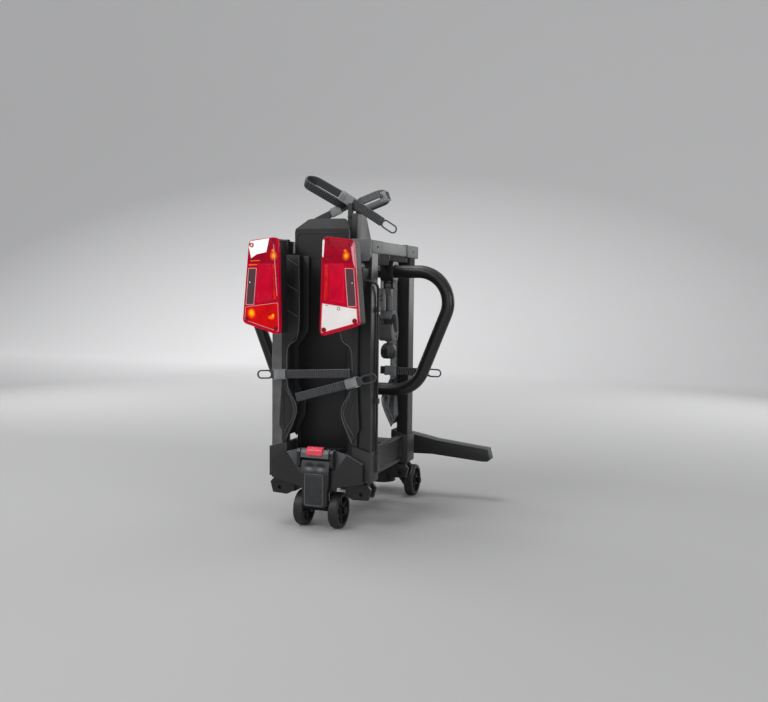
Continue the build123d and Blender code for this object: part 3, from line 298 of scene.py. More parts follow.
def piece_from(shape, name, body, slot, replaced=(), paint=None, smooth=32):
    """Turns a drawn shape into a finished piece on a body."""
    mesh = bpy.data.meshes.new(name)
    outwards(moved(shape, TO_FRAME)).to_mesh(mesh)
    shape.free()
    for polygon in mesh.polygons:
        polygon.use_smooth = True
    mesh.set_sharp_from_angle(angle=math.radians(smooth))
    mesh.materials.append(paint or paints[slot])
    piece = linked(name, mesh)
    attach(piece, body)
    if replaced:
        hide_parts(*replaced)
        done.update(replaced)
    return piece


def wing_piece(side, shape, name, slot, replaced=None, paint=None):
    """A piece of a wing, drawn for the right one and mirrored for the left."""
    nodes = (f"{side}_{replaced}",) if replaced else ()
    shape = moved(shape, Matrix.Scale(SIDES[side], 4, (1, 0, 0)))
    piece_from(shape, f"{side}_{name}", f"{side}_wing", slot, nodes, paint)


def soften(shape, width, angle=30, segments=2):
    """Rounds every edge that is sharper than an angle."""
    limit = math.radians(angle)
    sharp = [e for e in shape.edges if len(e.link_faces) == 2 and e.calc_face_angle(0) > limit]
    if sharp:
        bmesh.ops.bevel(
            shape, geom=sharp, offset=width, offset_type="OFFSET", segments=segments,
            profile=0.6, affect="EDGES", clamp_overlap=True,
        )
    return shape


def joined(*shapes):
    """One shape made of several."""
    whole = bmesh.new()
    for shape in shapes:
        mesh = bpy.data.meshes.new("part")
        shape.to_mesh(mesh)
        shape.free()
        whole.from_mesh(mesh)
        bpy.data.meshes.remove(mesh)
    return whole


def moved(shape, matrix):
    bmesh.ops.transform(shape, matrix=matrix, verts=shape.verts)
    return shape


def shifted(shape, x, y, z):
    return moved(shape, Matrix.Translation((x, y, z)))


def outwards(shape):
    """Turns every face to the outside."""
    bmesh.ops.recalc_face_normals(shape, faces=shape.faces)
    return shape


def bridge(shape, first, second):
    """Joins two rings of points with faces."""
    for here in range(len(first)):
        shape.faces.new((first[here - 1], first[here], second[here], second[here - 1]))


def ring_at(shape, points, depth, axis):
    """An outline's points, laid across an axis."""
    return [
        shape.verts.new({"x": (depth, a, b), "y": (a, depth, b), "z": (a, b, depth)}[axis]) for a, b in points
    ]


def slab(points, low, high, axis="y"):
    """An outline drawn across an axis, with its thickness along it."""
    shape = bmesh.new()
    near, far = ring_at(shape, points, low, axis), ring_at(shape, points, high, axis)
    shape.faces.new(near)
    shape.faces.new(far[::-1])
    bridge(shape, near, far)
    return outwards(shape)


def framed(outer, inner, low, high, axis="y"):
    """A plate with a hole. Both outlines have as many points."""
    shape = bmesh.new()
    edges = ((outer, low), (inner, low), (inner, high), (outer, high))
    rings = [ring_at(shape, points, depth, axis) for points, depth in edges]
    for first, second in zip(rings, rings[1:] + rings[:1]):
        bridge(shape, first, second)
    return outwards(shape)


def block(x0, x1, y0, y1, z0, z1, radius):
    """A box with rounded edges."""
    return soften(slab([(x0, z0), (x1, z0), (x1, z1), (x0, z1)], y0, y1), radius)


def rounded(points, radius, steps=4):
    """An outline with its corners rounded."""
    result = []
    for index, point in enumerate(points):
        here = Vector(point)
        before = (Vector(points[index - 1]) - here).normalized()
        after = (Vector(points[(index + 1) % len(points)]) - here).normalized()
        reach = radius / math.tan(before.angle(after) / 2)
        start, end = here + before * reach, here + after * reach
        for step in range(steps + 1):
            t = step / steps
            result.append(tuple(start.lerp(here, t).lerp(here.lerp(end, t), t)))
    return result


def shrunk(points, amount):
    """A convex outline drawn in by an amount on every side."""
    count = len(points)
    centre = sum((Vector(p) for p in points), Vector((0, 0))) / count
    result = []
    for index in range(count):
        here = Vector(points[index])
        normals = []
        for edge in (here - Vector(points[index - 1]), Vector(points[(index + 1) % count]) - here):
            normal = Vector((-edge.y, edge.x)).normalized()
            normals.append(normal if normal.dot(centre - here) > 0 else -normal)
        corner = normals[0] + normals[1]
        result.append(tuple(here + corner * (amount / max(0.3, corner.dot(normals[0])))))
    return result


def pill(x0, x1, half, steps=8):
    """A slot outline with round ends, along the first direction."""
    points = []
    for end, start in ((x1 - half, -90), (x0 + half, 90)):
        for step in range(steps + 1):
            turn = math.radians(start + 180 * step / steps)
            points.append((end + half * math.cos(turn), half * math.sin(turn)))
    return points


def circle(count):
    turns = [2 * math.pi * step / count for step in range(count)]
    return [(math.cos(turn), math.sin(turn)) for turn in turns]


def turned(profile, count=28):
    """A round shape about Z: an outline of (radius, height), closed on the axis where its radius is 0."""
    shape = bmesh.new()
    rings = []
    for radius, height in profile:
        around = circle(count) if radius else [(0, 0)]
        rings.append([shape.verts.new((radius * a, radius * b, height)) for a, b in around])
    for first, second in zip(rings, rings[1:]):
        for here in range(count):
            corners = [
                first[(here - 1) % len(first)], first[here % len(first)],
                second[here % len(second)], second[(here - 1) % len(second)],
            ]
            shape.faces.new(list(dict.fromkeys(corners)))
    return outwards(shape)


def facing(x, y, z, axis):
    """Turns a shape drawn about Z to stand on a place, with its height along an axis."""
    return Matrix.Translation((x, y, z)) @ Vector(axis).to_track_quat("Z", "Y").to_matrix().to_4x4()


def curve_through(points, steps):
    """A smooth line through points."""
    points = [Vector(point) for point in points]
    held = points[:1] + points + points[-1:]
    line = []
    for a, b, c, d in zip(held, held[1:], held[2:], held[3:]):
        for step in range(steps):
            t = step / steps
            square, cube = 2 * a - 5 * b + 4 * c - d, 3 * b - a - 3 * c + d
            line.append(0.5 * (2 * b + (c - a) * t + square * t * t + cube * t ** 3))
    return line + points[-1:]


def evenly(line, spacing, closed=False):
    """Points along a line at an even spacing."""
    if closed:
        line = line + line[:1]
    lengths = [0]
    for before, after in zip(line, line[1:]):
        lengths.append(lengths[-1] + (after - before).length)
    count = max(2, round(lengths[-1] / spacing))
    result = []
    index = 0
    for step in range(count + (0 if closed else 1)):
        target = lengths[-1] * step / count
        while index < len(line) - 2 and lengths[index + 1] < target:
            index += 1
        span = lengths[index + 1] - lengths[index]
        result.append(line[index].lerp(line[index + 1], (target - lengths[index]) / span if span else 0))
    return result


def directions(line, closed=False):
    held = line[-1:] + line + line[:1] if closed else line[:1] + line + line[-1:]
    return [(after - before).normalized() for before, after in zip(held, held[2:])]


def swept(sections, closed=False):
    """Joins cross-sections, each a list of points."""
    shape = bmesh.new()
    rings = [[shape.verts.new(point) for point in section] for section in sections]
    for first, second in zip(rings, rings[1:] + (rings[:1] if closed else [])):
        bridge(shape, first, second)
    if not closed:
        shape.faces.new(rings[0])
        shape.faces.new(rings[-1][::-1])
    return outwards(shape)


def tube(line, radius, count):
    """A round bar along a line."""
    sections = []
    side = Vector((0, 0, 1))
    for place, heading in zip(line, directions(line)):
        side = side - heading * side.dot(heading)
        if side.length < 0.01:
            side = heading.orthogonal()
        side.normalize()
        other = heading.cross(side)
        sections.append([place + (side * a + other * b) * radius for a, b in circle(count)])
    return swept(sections)


def band(line, across, width, thickness, closed=False):
    """A flat band along a line, with cross ridges on its outer face and a thinner edge."""
    pitch, ridge, rim = 6, 1.4, 1.6
    points = evenly(line, pitch / 4, closed)
    across = Vector(across).normalized()
    half, top = width / 2, thickness / 2
    sections = []
    for index, (place, heading) in enumerate(zip(points, directions(points, closed))):
        side = (across - heading * across.dot(heading)).normalized()
        out = heading.cross(side)
        crest = top + (ridge if index % 4 < 2 else 0)
        outline = [
            (-half, -top + 0.4), (-half + 0.6, -top), (half - 0.6, -top), (half, -top + 0.4),
            (half, top - 0.4), (half - 0.6, top), (half - rim, top), (half - rim - 0.3, crest),
            (-half + rim + 0.3, crest), (-half + rim, top), (-half + 0.6, top), (-half, top - 0.4),
        ]
        sections.append([place + side * a + out * b for a, b in outline])
    return swept(sections, closed)


def straight_band(stations, level, width, thickness=2.6, steps=8):
    """A straight length of band along X."""
    line = curve_through([(x, level, 0) for x in stations], steps)
    return band(line, (0, 0, 1), width, thickness)


def dressed(node, width, paint):
    """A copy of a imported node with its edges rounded, which stands for the node."""
    shape = bmesh.new()
    shape.from_mesh(frame["nodes"][node].data)
    moved(shape, TO_FRAME.inverted())
    bmesh.ops.remove_doubles(shape, verts=shape.verts, dist=0.01)
    bmesh.ops.dissolve_limit(
        shape, angle_limit=math.radians(1), verts=shape.verts, edges=shape.edges, delimit={"NORMAL"}
    )
    piece_from(soften(shape, width), f"{node}_dressed", body_of[node], slot_of[node], (node,), paint)


# The trailer cable: out of the junction box, round the mast in a flat coil and up to its plug

COIL_CENTRE = Vector((0, 160, 136.2))
COIL_INNER = 75
COIL_PITCH = 8.8
LEAD_RADIUS = 40
LEAD_Y = 115
CABLE_RADIUS = 0.004


def polar(degrees):
    turn = math.radians(degrees)
    return Vector((math.cos(turn), math.sin(turn), 0))


def arc_points(centre, radius, start, sweep, count):
    """Control points whose spline keeps the arc's true size."""
    step = sweep / count
    reach = radius / math.cos(math.radians(step / 2))
    return [centre + reach * polar(start + step * (index + 0.5)) for index in range(count)]


def cable_route():
    offset = COIL_INNER - LEAD_RADIUS
    start = math.degrees(math.asin((LEAD_Y + LEAD_RADIUS - COIL_CENTRE.y) / offset))
    radial = polar(start)
    points = [Vector((24, LEAD_Y, COIL_CENTRE.z))]
    points += arc_points(COIL_CENTRE + radial * offset, LEAD_RADIUS, -90, start + 90, 4)
    step = COIL_PITCH / 2
    for index in range(6):
        hub = COIL_CENTRE + radial * (step * (index % 2))
        points += arc_points(hub, COIL_INNER + step * index, start + 180 * index, 180, 8)
    last = COIL_INNER + step * 6
    points += arc_points(COIL_CENTRE, last, start, 58, 3)
    out = polar(start + 58)
    leave = COIL_CENTRE + last * out + Vector((-out.y, out.x, 0)) * 40
    return points + [leave, Vector((6, 283, 144)), Vector((-18, 290, 152)), Vector((-44, 290, 152))]


def cable_plug():
    """The plug: a ribbed grip, a wide front with a flange, and a boot that narrows to the cable."""
    profile = [
        (0, 0), (14, 0), (14, -1.5), (16.2, -1.5), (16.2, 0), (19, 0), (19.7, 0.8), (19.7, 5),
        (18.4, 6), (18.4, 9),
    ]
    for rib in range(7):
        start = 10 + rib * 3.2
        profile += [(19.6, start), (19.6, start + 1.8), (18.4, start + 2.3)]
    profile += [(17, 33.5), (12, 37)]
    for rib in range(3):
        start = 38 + rib * 3.6
        radius = 11 - 1.6 * rib
        profile += [(radius, start), (radius, start + 1.8), (radius - 1.8, start + 2.4)]
    profile += [(4.3, 49.6), (0, 49.6)]
    shape = moved(turned(profile, 40), facing(-80, 290, 152, (1, 0, 0)))
    return joined(shape, block(-78, -50, 286, 294, 169, 172.2, 0.8))


def lay_cable():
    line = bpy.data.curves.new("trailer_cable_line", "CURVE")
    line.dimensions = "3D"
    line.bevel_depth = CABLE_RADIUS
    line.bevel_resolution = 4
    line.resolution_u = 6
    spline = line.splines.new("NURBS")
    route = [at(*point) for point in cable_route()]
    spline.points.add(len(route) - 1)
    for point, place in zip(spline.points, route):
        point.co = (*place, 1)
    spline.order_u = 3
    spline.use_endpoint_u = True
    line.materials.append(paints["cable"])
    cable = linked("trailer_cable_coil", line)
    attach(cable, "spine")
    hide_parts("trailer_cable")
    done.add("trailer_cable")
    plug = piece_from(cable_plug(), "trailer_plug_ribbed", "spine", "moulding", ("trailer_plug",))
    relief = turned([(4.2, 11), (5, 10), (5.4, 7), (4.8, 6.4), (6.4, 5.6), (5.8, 2), (7.6, 1), (8, 0)])
    moved(relief, facing(24.2, LEAD_Y, COIL_CENTRE.z, (1, 0, 0)))
    piece_from(relief, "cable_gland", "spine", "moulding")


# Tray straps

def strap_place(x, y, z, slope):
    """The placement of a strap that is drawn along X and stands out towards -Y."""
    return Matrix.Translation((x, y, z)) @ Matrix.Rotation(math.radians(-slope), 4, "Y")


def pull_ring(start, end, front, narrow_at_start):
    """The oblong ring at a strap's end, with more of it at the neck than at the tip."""
    near, far = (5.5, 3.4) if narrow_at_start else (3.4, 5.5)
    outer, inner = pill(start, end, 10.8), pill(start + near, end - far, 7.3)
    return soften(framed(outer, inner, front, front + 3), 0.6)


STRAPS = {
    # name: place of the buckle, slope, stand-off, band from and to, ring's length, ring at the start
    "left_front": ((-98, -9, 363), 3, 0, (-20, 180), 42, True),
    "right_front": ((90, -15, 351), 196, 6, (-20, 148), 42, True),
    "left_rear": ((-84, 268, 357), 181, 0, (-28, 98), 40, False),
    "right_rear": ((84, 268, 357), -1, 0, (-28, 98), 40, False),
}


def buckle_body(stand_off):
    """The buckle's floor, its two cheeks and the pin of its lever."""
    parts = [block(-16, 16, -3.9, -0.1, -11.9, 11.9, 0.8)]
    cheek = [(-16, -0.4), (-16, -10.5), (-12.5, -13.9), (-7.5, -13.9), (-3, -9.5), (16, -8), (16, -0.4)]
    for low, high in ((-12, -10), (10, 12)):
        parts.append(soften(slab(cheek, low, high, "z"), 0.5))
    for radius, low, high in ((1.5, -11.5, 11.5), (2.4, -12.6, -11.8), (2.4, 11.8, 12.6)):
        pin = turned([(0, low), (radius, low), (radius, high), (0, high)], 16)
        parts.append(shifted(pin, -11, -12, 0))
    if stand_off:
        parts.append(block(-15.5, 11.5, -0.3, stand_off - 0.1, -9.9, 9.9, 0.6))
    return joined(*parts)


def tray_strap(name):
    place, slope, stand_off, (start, end), ring, ring_first = STRAPS[name]
    node = f"{name}_strap"
    matrix = strap_place(*place, slope)
    body = body_of[node]
    strip = straight_band((start, start * 0.5, end * 0.5, end), -5.5, 20.2, 2.8, 4)
    piece_from(moved(strip, matrix), f"{node}_band", body, "band", (node,), smooth=40)
    front = -7
    edge = start if ring_first else end
    span = (start - ring + 1, start + 1) if ring_first else (end - 1, end + ring - 1)
    loop = pull_ring(*span, front, not ring_first)
    neck = block(edge - 3, edge + 3, front - 0.9, front + 3.1, -9.9, 9.9, 0.7)
    piece_from(moved(joined(loop, neck), matrix), f"{node}_ring", body, "band")
    piece_from(moved(buckle_body(stand_off), matrix), f"{node}_buckle", body, "buckle")


def buckle_lever(name):
    """The ratchet lever: a thumb plate with cross grips, its barrel and a raised lip."""
    place, slope = STRAPS[name][:2]
    node = f"{name}_buckle_lever"
    side = [
        (-13, -10.2), (-8, -10.2), (13.5, -10.1), (16, -11.2), (16, -13.2), (13, -13.9), (-4, -13.9),
        (-9, -14.5), (-13.2, -13.9),
    ]
    parts = [soften(slab(side, -9.6, 9.6, "z"), 0.6)]
    for index in range(6):
        x = -1 + index * 2.6
        parts.append(block(x, x + 1.3, -14.5, -13.7, -7.2, 7.2, 0.25))
    for low, high in ((-9.3, -8.3), (8.3, 9.3)):
        parts.append(block(-6, 13, -14.3, -13.6, low, high, 0.25))
    barrel = turned([(1.6, -9.6), (2.6, -9.6), (2.6, 9.6), (1.6, 9.6), (1.6, -9.6)], 18)
    shape = moved(joined(*parts, shifted(barrel, -11, -12, 0)), strap_place(*place, slope))
    piece_from(shape, f"{node}_grip", body_of[node], slot_of[node], (node,))


# Lamps

LENS = [(54, 682), (127, 674), (143, 488), (48, 460)]
LENS_FRONT = -116
# The strength of the painted glow of the lens, and the colour of the painted glow spots' cores.
PAINTED_LENS_GLOW = 0.4
PAINTED_GLOW_CORE = (1, 0.5, 0)
DEEP_RED = (0.3, 0, 0.014)
RIM_RED = (0.42, 0, 0.018)
CRIMSON = (0.5, 0, 0.022)
FLAME_RED = (0.56, 0.001, 0.003)
# The colour of the painted streaks of light on the lens.
PAINTED_STREAK_RED = (0.8, 0.012, 0)


def lamp_point(across, down):
    """A place on the lamp's face: across from its outer edge to its inner one, down from the top."""
    inner_top, outer_top, outer_low, inner_low = map(Vector, LENS)
    return tuple(outer_top.lerp(inner_top, across).lerp(outer_low.lerp(inner_low, across), down))


def lamp_field(corners, depth, height, radius=0):
    """A raised field of the lens, with its corners as (across, down)."""
    outline = [lamp_point(*corner) for corner in corners]
    if radius:
        outline = rounded(outline, radius)
    return slab(outline, LENS_FRONT + depth - height, LENS_FRONT + depth)


def lamp_seam(corners, width, outer_radius, inner_radius, depth):
    """A raised line round a field."""
    outer = [lamp_point(*corner) for corner in corners]
    inner = rounded(shrunk(outer, width), inner_radius)
    return framed(rounded(outer, outer_radius), inner, LENS_FRONT + depth, LENS_FRONT + 1.3)


def lamp_stud(profile, across, down, depth, count=20):
    """A round detail of the lens."""
    x, z = lamp_point(across, down)
    return moved(turned(profile, count), facing(x, LENS_FRONT + depth, z, (0, -1, 0)))


def painted_glow_lens(name, colour, roughness, sign, marks=(), line=None, ribs=0):
    """Lens plastic with a painted glow, an emission that stands in for light through it: marks are painted
    glow spots (across, down, radius, stretch, colour), and line a painted streak (across, width).
    """
    # All of the lens plastic has a painted glow.
    sockets = {
        "Coat Weight": 0.12, "Coat Roughness": 0.06, "Specular IOR Level": 0.15,
        "Emission Strength": PAINTED_LENS_GLOW,
    }
    finish = Finish(name, colour, roughness, 0, sockets)
    finish.has_painted_glow = True
    x, z = finish.axis("X"), finish.axis("Z")
    cloud = finish.speckle(55, 4)
    finish.patches(cloud, 0.35, 0.8, 0.5, 0.45)
    # Painted glow spots.
    for across, down, radius, stretch, tone in marks:
        place_x, place_z = lamp_point(across, down)
        centre = at(sign * place_x, 0, place_z)
        wide = (x - centre.x) * (1000 / radius)
        tall = (z - centre.z) * (1000 / (radius * stretch))
        reach = (wide * wide + tall * tall).root()
        finish.tint(finish.ramp(reach + cloud * 0.5 - 0.25, (0.1, 1), (1, 0)), tone)
    # A painted streak of light down the lens.
    if line:
        across, width = line
        centre = at(sign * lamp_point(across, 0.5)[0], 0, 560)
        off = abs(x - centre.x - (z - centre.z) * (sign * 0.03))
        streak_noise = finish.speckle(1, 4, finish.stretched(900, 1, 70))
        edge = finish.ramp(off * (1000 / width), (0.3, 1), (1, 0))
        finish.tint(edge * finish.ramp(streak_noise, (0.4, 0), (0.62, 1)), PAINTED_STREAK_RED)
    finish.roughen(finish.speckle(160, 3), 0.1, -0.04)
    if ribs:
        finish.emboss(finish.speckle(ribs), 0.0004, 0.6)
    return finish.material


def lens_finishes(side, sign):
    """The finishes of one lens by field. The left lens is red below, and the right one clear."""
    left = side == "left"
    # Painted glow spots and painted streaks of light on the lens fields.
    glow_centre, glow_above = ((0.84, 0.19), (0.82, 0.135)) if left else ((0.26, 0.19), (0.28, 0.135))
    top_glow_spots = [(*glow_centre, 9.5, 1.3, AMBER_AND_PAINTED_GLOW), (*glow_above, 5, 0.9, AMBER_AND_PAINTED_GLOW), (*glow_centre, 4.5, 1.3, PAINTED_GLOW_CORE)]
    low_glow_spots = [
        (0.22, 0.855, 11, 1.15, AMBER_AND_PAINTED_GLOW), (0.22, 0.85, 7.5, 1.1, PAINTED_GLOW_CORE),
        (0.76, 0.84, 9, 0.6, AMBER_AND_PAINTED_GLOW), (0.81, 0.815, 4.5, 1, PAINTED_GLOW_CORE),
    ]
    finishes = {
        "shell": painted_glow_lens(f"Lens red {side}", RIM_RED, 0.14, sign),
        "upper": painted_glow_lens(f"Lens upper field {side}", DEEP_RED, 0.2, sign, top_glow_spots, ribs=700),
        "middle": painted_glow_lens(f"Lens middle {side}", CRIMSON, 0.18, sign, line=(0.37, 0.8)),
        "inner": painted_glow_lens(f"Lens inner field {side}", DEEP_RED, 0.25, sign, line=(0.86, 6), ribs=900),
        # The clear finish has a painted glow. On the left it is only the painted glare; on the right it is
        # the clear lower field and the painted highlights.
        "clear": gloss_plastic(f"Lens clear {side}", (0.86, 0.82, 0.8), 0.2, 1, 0.5 if left else 0.14),
    }
    finishes["lower"] = finishes["clear"]
    if left:
        finishes["lower"] = painted_glow_lens(f"Lens lower field {side}", FLAME_RED, 0.2, sign, low_glow_spots)
    return finishes


def slatted_field(base):
    """The lower field, cut into slats that follow its slanted top."""
    slats = [lamp_field(base, 1.3, 0.3, 2)]
    count = 17
    for index in range(count):
        start = 0.03 + index / count * 0.94
        end = start + 0.5 / count
        corners = []
        for across, share in ((0.07, start), (0.93, start), (0.93, end), (0.07, end)):
            high = 0.806 - (across - 0.04) * 0.15
            corners.append((across, high + (0.957 - high) * share))
        slats.append(lamp_field(corners, 1.05, 0.4))
    return joined(*slats)


def reflector_field():
    """The reflector's ground and its prisms, in rows that narrow downwards."""
    prisms = [lamp_field([(0.06, 0.345), (0.295, 0.34), (0.265, 0.745), (0.06, 0.765)], 1.3, 0.2)]
    columns, rows = 5, 20
    for row in range(rows):
        for column in range(columns):
            corners = []
            for a, b in ((0.1, 0.1), (0.9, 0.1), (0.9, 0.9), (0.1, 0.9)):
                down = 0.352 + (row + b) / rows * 0.39
                reach = 0.215 - (down - 0.34) * 0.07
                corners.append((0.07 + (column + a) / columns * reach, down))
            prisms.append(lamp_field(corners, 1.2, 0.5))
    return joined(*prisms)


def lamp(side, sign):
    """The lens: its shell and rim, the raised fields, the reflector's prisms, seams and screws."""
    finishes = lens_finishes(side, sign)

    def put(shape, name, paint, replaced=None):
        wing_piece(side, shape, f"lamp_{name}", "lens", replaced, finishes.get(paint, paint))

    outline, inside = rounded(LENS, 13, 8), rounded(shrunk(LENS, 2.6), 10.8, 8)
    shell = soften(slab(outline, LENS_FRONT + 1.2, LENS_FRONT + 10), 0.5)
    rim = soften(framed(outline, inside, LENS_FRONT, LENS_FRONT + 1.4), 0.6)
    put(joined(shell, rim), "lens_shell", "shell", "lamp_lens")
    for name, corners in (
        ("upper", [(0.05, 0.025), (0.95, 0.025), (0.965, 0.265), (0.045, 0.275)]),
        ("middle", [(0.33, 0.28), (0.77, 0.275), (0.77, 0.655), (0.33, 0.725)]),
        ("inner", [(0.79, 0.28), (0.95, 0.28), (0.95, 0.63), (0.79, 0.65)]),
    ):
        put(soften(lamp_field(corners, 1.3, 0.55, 1.5), 0.25), f"{name}_field", name)
    if side == "left":
        # A painted reflection: white glare across the top of the left lens.
        patch = [(0.015, 0.075), (0.07, 0.012), (0.7, 0.006), (0.61, 0.15), (0.3, 0.17), (0.12, 0.215)]
        put(soften(lamp_field(patch, -0.1, 0.5), 0.2), "painted_glare_patch", "clear")
        upper = lamp_field([(0.1, 0.242), (0.4, 0.236), (0.4, 0.246), (0.1, 0.252)], 0.75, 0.3)
        lower = lamp_field([(0.05, 0.288), (0.31, 0.284), (0.31, 0.294), (0.05, 0.3)], 1.1, 0.4)
        put(joined(upper, lower), "amber_dashes", amber_plastic)
        edge, edge_depth = [(0.84, 0.075), (0.86, 0.075), (0.945, 0.6), (0.93, 0.6)], 0
    else:
        # Painted highlights along the outer and the inner edge of the right lens.
        glint = [(0.004, 0.05), (0.1, 0.04), (0.055, 0.26), (0.004, 0.34)]
        put(lamp_field(glint, -0.1, 0.4), "painted_outer_highlight", painted_edge_highlight)
        glint = [(0.99, 0.05), (0.965, 0.03), (0.92, 0.04), (0.945, 0.21), (0.985, 0.2)]
        put(lamp_field(glint, -0.1, 0.4), "painted_inner_highlight", "clear")
        edge, edge_depth = [(0.012, 0.25), (0.032, 0.25), (0.03, 0.94), (0.012, 0.94)], 1.2

    base = [(0.04, 0.802), (0.955, 0.665), (0.965, 0.965), (0.04, 0.962)]
    put(slatted_field(base), "lower_field", "lower")
    # The raised seams round the lower field and the reflector are painted pale as highlights.
    put(lamp_seam(base, 0.9, 4, 3.4, 0.3), "lower_border", painted_seam_highlight)

    seam = lamp_seam([(0.045, 0.335), (0.31, 0.325), (0.275, 0.755), (0.045, 0.78)], 1.3, 2, 1.2, 0.2)
    put(soften(seam, 0.2), "reflector_border", painted_seam_highlight)
    put(reflector_field(), "reflector", reflector_brown)
    if side == "right":
        dash = lamp_field([(0.86, 0.69), (0.79, 0.697), (0.79, 0.703), (0.86, 0.696)], 0.6, 0.3)
        eye = lamp_stud([(2.6, 0), (3.2, 0.5), (3.8, 0), (2.6, 0)], 0.51, 0.757, 0.6, 24)
        put(joined(dash, eye), "lens_marks", reflector_brown)
    # A painted glint on the reflector.
    put(lamp_stud([(0, 0.3), (0.8, 0.1), (1.3, 0)], 0.12, 0.5, 0.4, 12), "reflector_glint", "clear")
    # A painted highlight along one edge of the lens.
    put(lamp_field(edge, edge_depth, 0.5), "painted_edge_highlight", painted_edge_highlight)

    spots = [(0.11, 0.935), (0.89, 0.94), (0.11, 0.06), (0.83, 0.035), (0.8, 0.21)]
    if side == "left":
        spots.pop()
    well = [(0, 0.1), (1.9, 0.1), (2.2, 0.6), (3.4, 0.7), (3.8, -0.4)]
    ring = [(3.8, -0.4), (3.9, 0.7), (5.5, 0.7), (5.7, -0.4)]
    put(joined(*(lamp_stud(well, *spot, -0.3) for spot in spots)), "screws", screw_red)
    put(joined(*(lamp_stud(ring, *spot, -0.3) for spot in spots)), "screw_rings", "shell")


def lamp_lead(side):
    """The lead from the lamp's back, in one sweep round the tray and down its outer side."""
    points = [
        (108, -69.2, 590), (108.5, -55, 590), (117, -34, 588.5), (128, -12, 585), (134, 8, 580),
        (133.5, 24, 571), (131.3, 31.6, 553), (131, 33, 530), (131, 33, 480), (131, 33, 300), (131, 33, 158),
    ]
    wing_piece(side, tube(curve_through(points, 8), 3, 14), "lamp_lead_run", "cable", "lamp_lead")


def lamp_bracket(side):
    """A round boss and a slanted strut that carry the lamp in front of the tray."""
    strut = [(104, 562), (110, 560), (122, 604), (122, 614), (116, 612)]
    boss = [(0, -1.5), (5, -1.5), (6, 0), (8.4, 0), (9, 1), (9, 30), (0, 30)]
    shape = joined(
        block(72, 106, -69, -64, 549, 625, 1),
        soften(slab(strut, -44, -0.4), 1.2),
        block(76, 106, -66, -40, 566, 572, 1),
        block(76, 120, -66, -40, 606, 612, 1),
        moved(turned(boss), facing(113, -30.4, 616.5, (0, -1, 0))),
    )
    slot = slot_of[f"{side}_lamp_bracket"]
    wing_piece(side, shape, "lamp_bracket_struts", slot, "lamp_bracket", paints["lamp_body"])


# The top clamp's straps

PLATE = Vector((28, 160, 611))


def belt(place, slope, size):
    """A closed loop of band, a little fuller on one side, as bands that are pushed open lie."""
    length, depth = size
    turn, tilt = math.radians(slope), math.radians(20)
    along = Vector((math.cos(turn), 0, math.sin(turn)))
    across = Vector((-math.sin(turn), 0, math.cos(turn)))
    width = across * math.cos(tilt) + Vector((0, 1, 0)) * math.sin(tilt)
    outward = width.cross(along)
    points = []
    for a, b in pill(-(length - 3) / 2, (length - 3) / 2, (depth - 3) / 2, 10):
        bulge = 1 + 0.06 * math.cos(math.pi * a / length)
        points.append(PLATE + Vector(place) + along * a + outward * b * bulge)
    return band(evenly(points, 1.5, True), width, 21.6, 2.6, True)


def top_strap_set():
    body = body_of["top_straps"]

    def put(shape, name, slot, place, replaced=(), smooth=32):
        piece_from(moved(shape, place), f"top_{name}", body, slot, replaced, smooth=smooth)

    still = Matrix.Identity(4)
    put(belt((-80, -6, 199), 151, (130, 50)), "left_loop", "band", still, ("top_straps",), 40)
    put(belt((39, 2, 173), 20, (85, 42.5)), "right_loop", "band", still, (), 40)

    place = strap_place(12, 130, 788, -32)
    case = [(-20, -7.5), (-17, -10.5), (-4, -10.9), (4, -8.5), (17, -8), (20, -5.5), (20, 5.6), (-20, 5.6)]
    parts = [soften(slab(case, -11.8, 11.8, "z"), 0.9)]
    for index in range(5):
        x = -15 + index * 2.8
        parts.append(block(x, x + 1.4, -11.6, -10.4, -8, 8, 0.3))
    put(joined(*parts), "buckle", "buckle", place)
    put(straight_band((0, 50, 108), -3.5, 22), "tail", "band", place, (), 40)
    collar = block(104, 110, -5.8, -1.8, -11, 11, 0.7)
    put(joined(pull_ring(107, 153, -5, True), collar), "tail_ring", "band", place)

    catch = joined(
        block(-9, 9, -14, 14, -11.8, -9.4, 0.7), block(-9, 9, -14, 14, 9.4, 11.8, 0.7),
        block(-9, 9, -14, -11.4, -10.5, 10.5, 0.7), block(-9, 9, 11.4, 14, -10.5, 10.5, 0.7),
    )
    put(catch, "catch", "buckle", strap_place(100, 158, 794, 20))

    place = strap_place(-25, 152, 761, 24)
    put(straight_band((-62, 0, 57.5), -1.5, 18.4), "short_strap", "band", place, (), 40)
    clasp = joined(
        block(-14, 14, -8, -3.4, -11, 11, 0.8), block(-14, 14, -4, -0.2, -11, -9.2, 0.5),
        block(-14, 14, -4, -0.2, 9.2, 11, 0.5),
    )
    put(clasp, "clasp", "buckle", place)
    channel = [(18.5, 118.2), (30, 118.2), (30, 126), (20.5, 126), (20.5, 130), (18.5, 130)]
    parts = [soften(slab(channel, 656, 776, "z"), 0.5)]
    for z in (686, 716, 742):
        parts.append(block(18.2, 29, 115.8, 119, z, z + 2.4, 0.4))
    arm = "top_clamp_arm"
    piece_from(joined(*parts), "top_arm_channel", body_of[arm], slot_of[arm], (), paints["board"])
    put(block(20.2, 43.8, 146.2, 155.8, 760, 781.8, 1.4), "neck", "band", still)


# The cover, its pedal and the lid

def plate(corners, faces, back):
    """A solid with a faceted front: corners as (x, y, z) in outline order, and a flat back."""
    shape = bmesh.new()
    front = [shape.verts.new(corner) for corner in corners]
    rear = [shape.verts.new((x, back, z)) for x, _, z in corners]
    for face in faces:
        shape.faces.new([front[index] for index in face])
    shape.faces.new(rear[::-1])
    bridge(shape, front, rear)
    return outwards(shape)


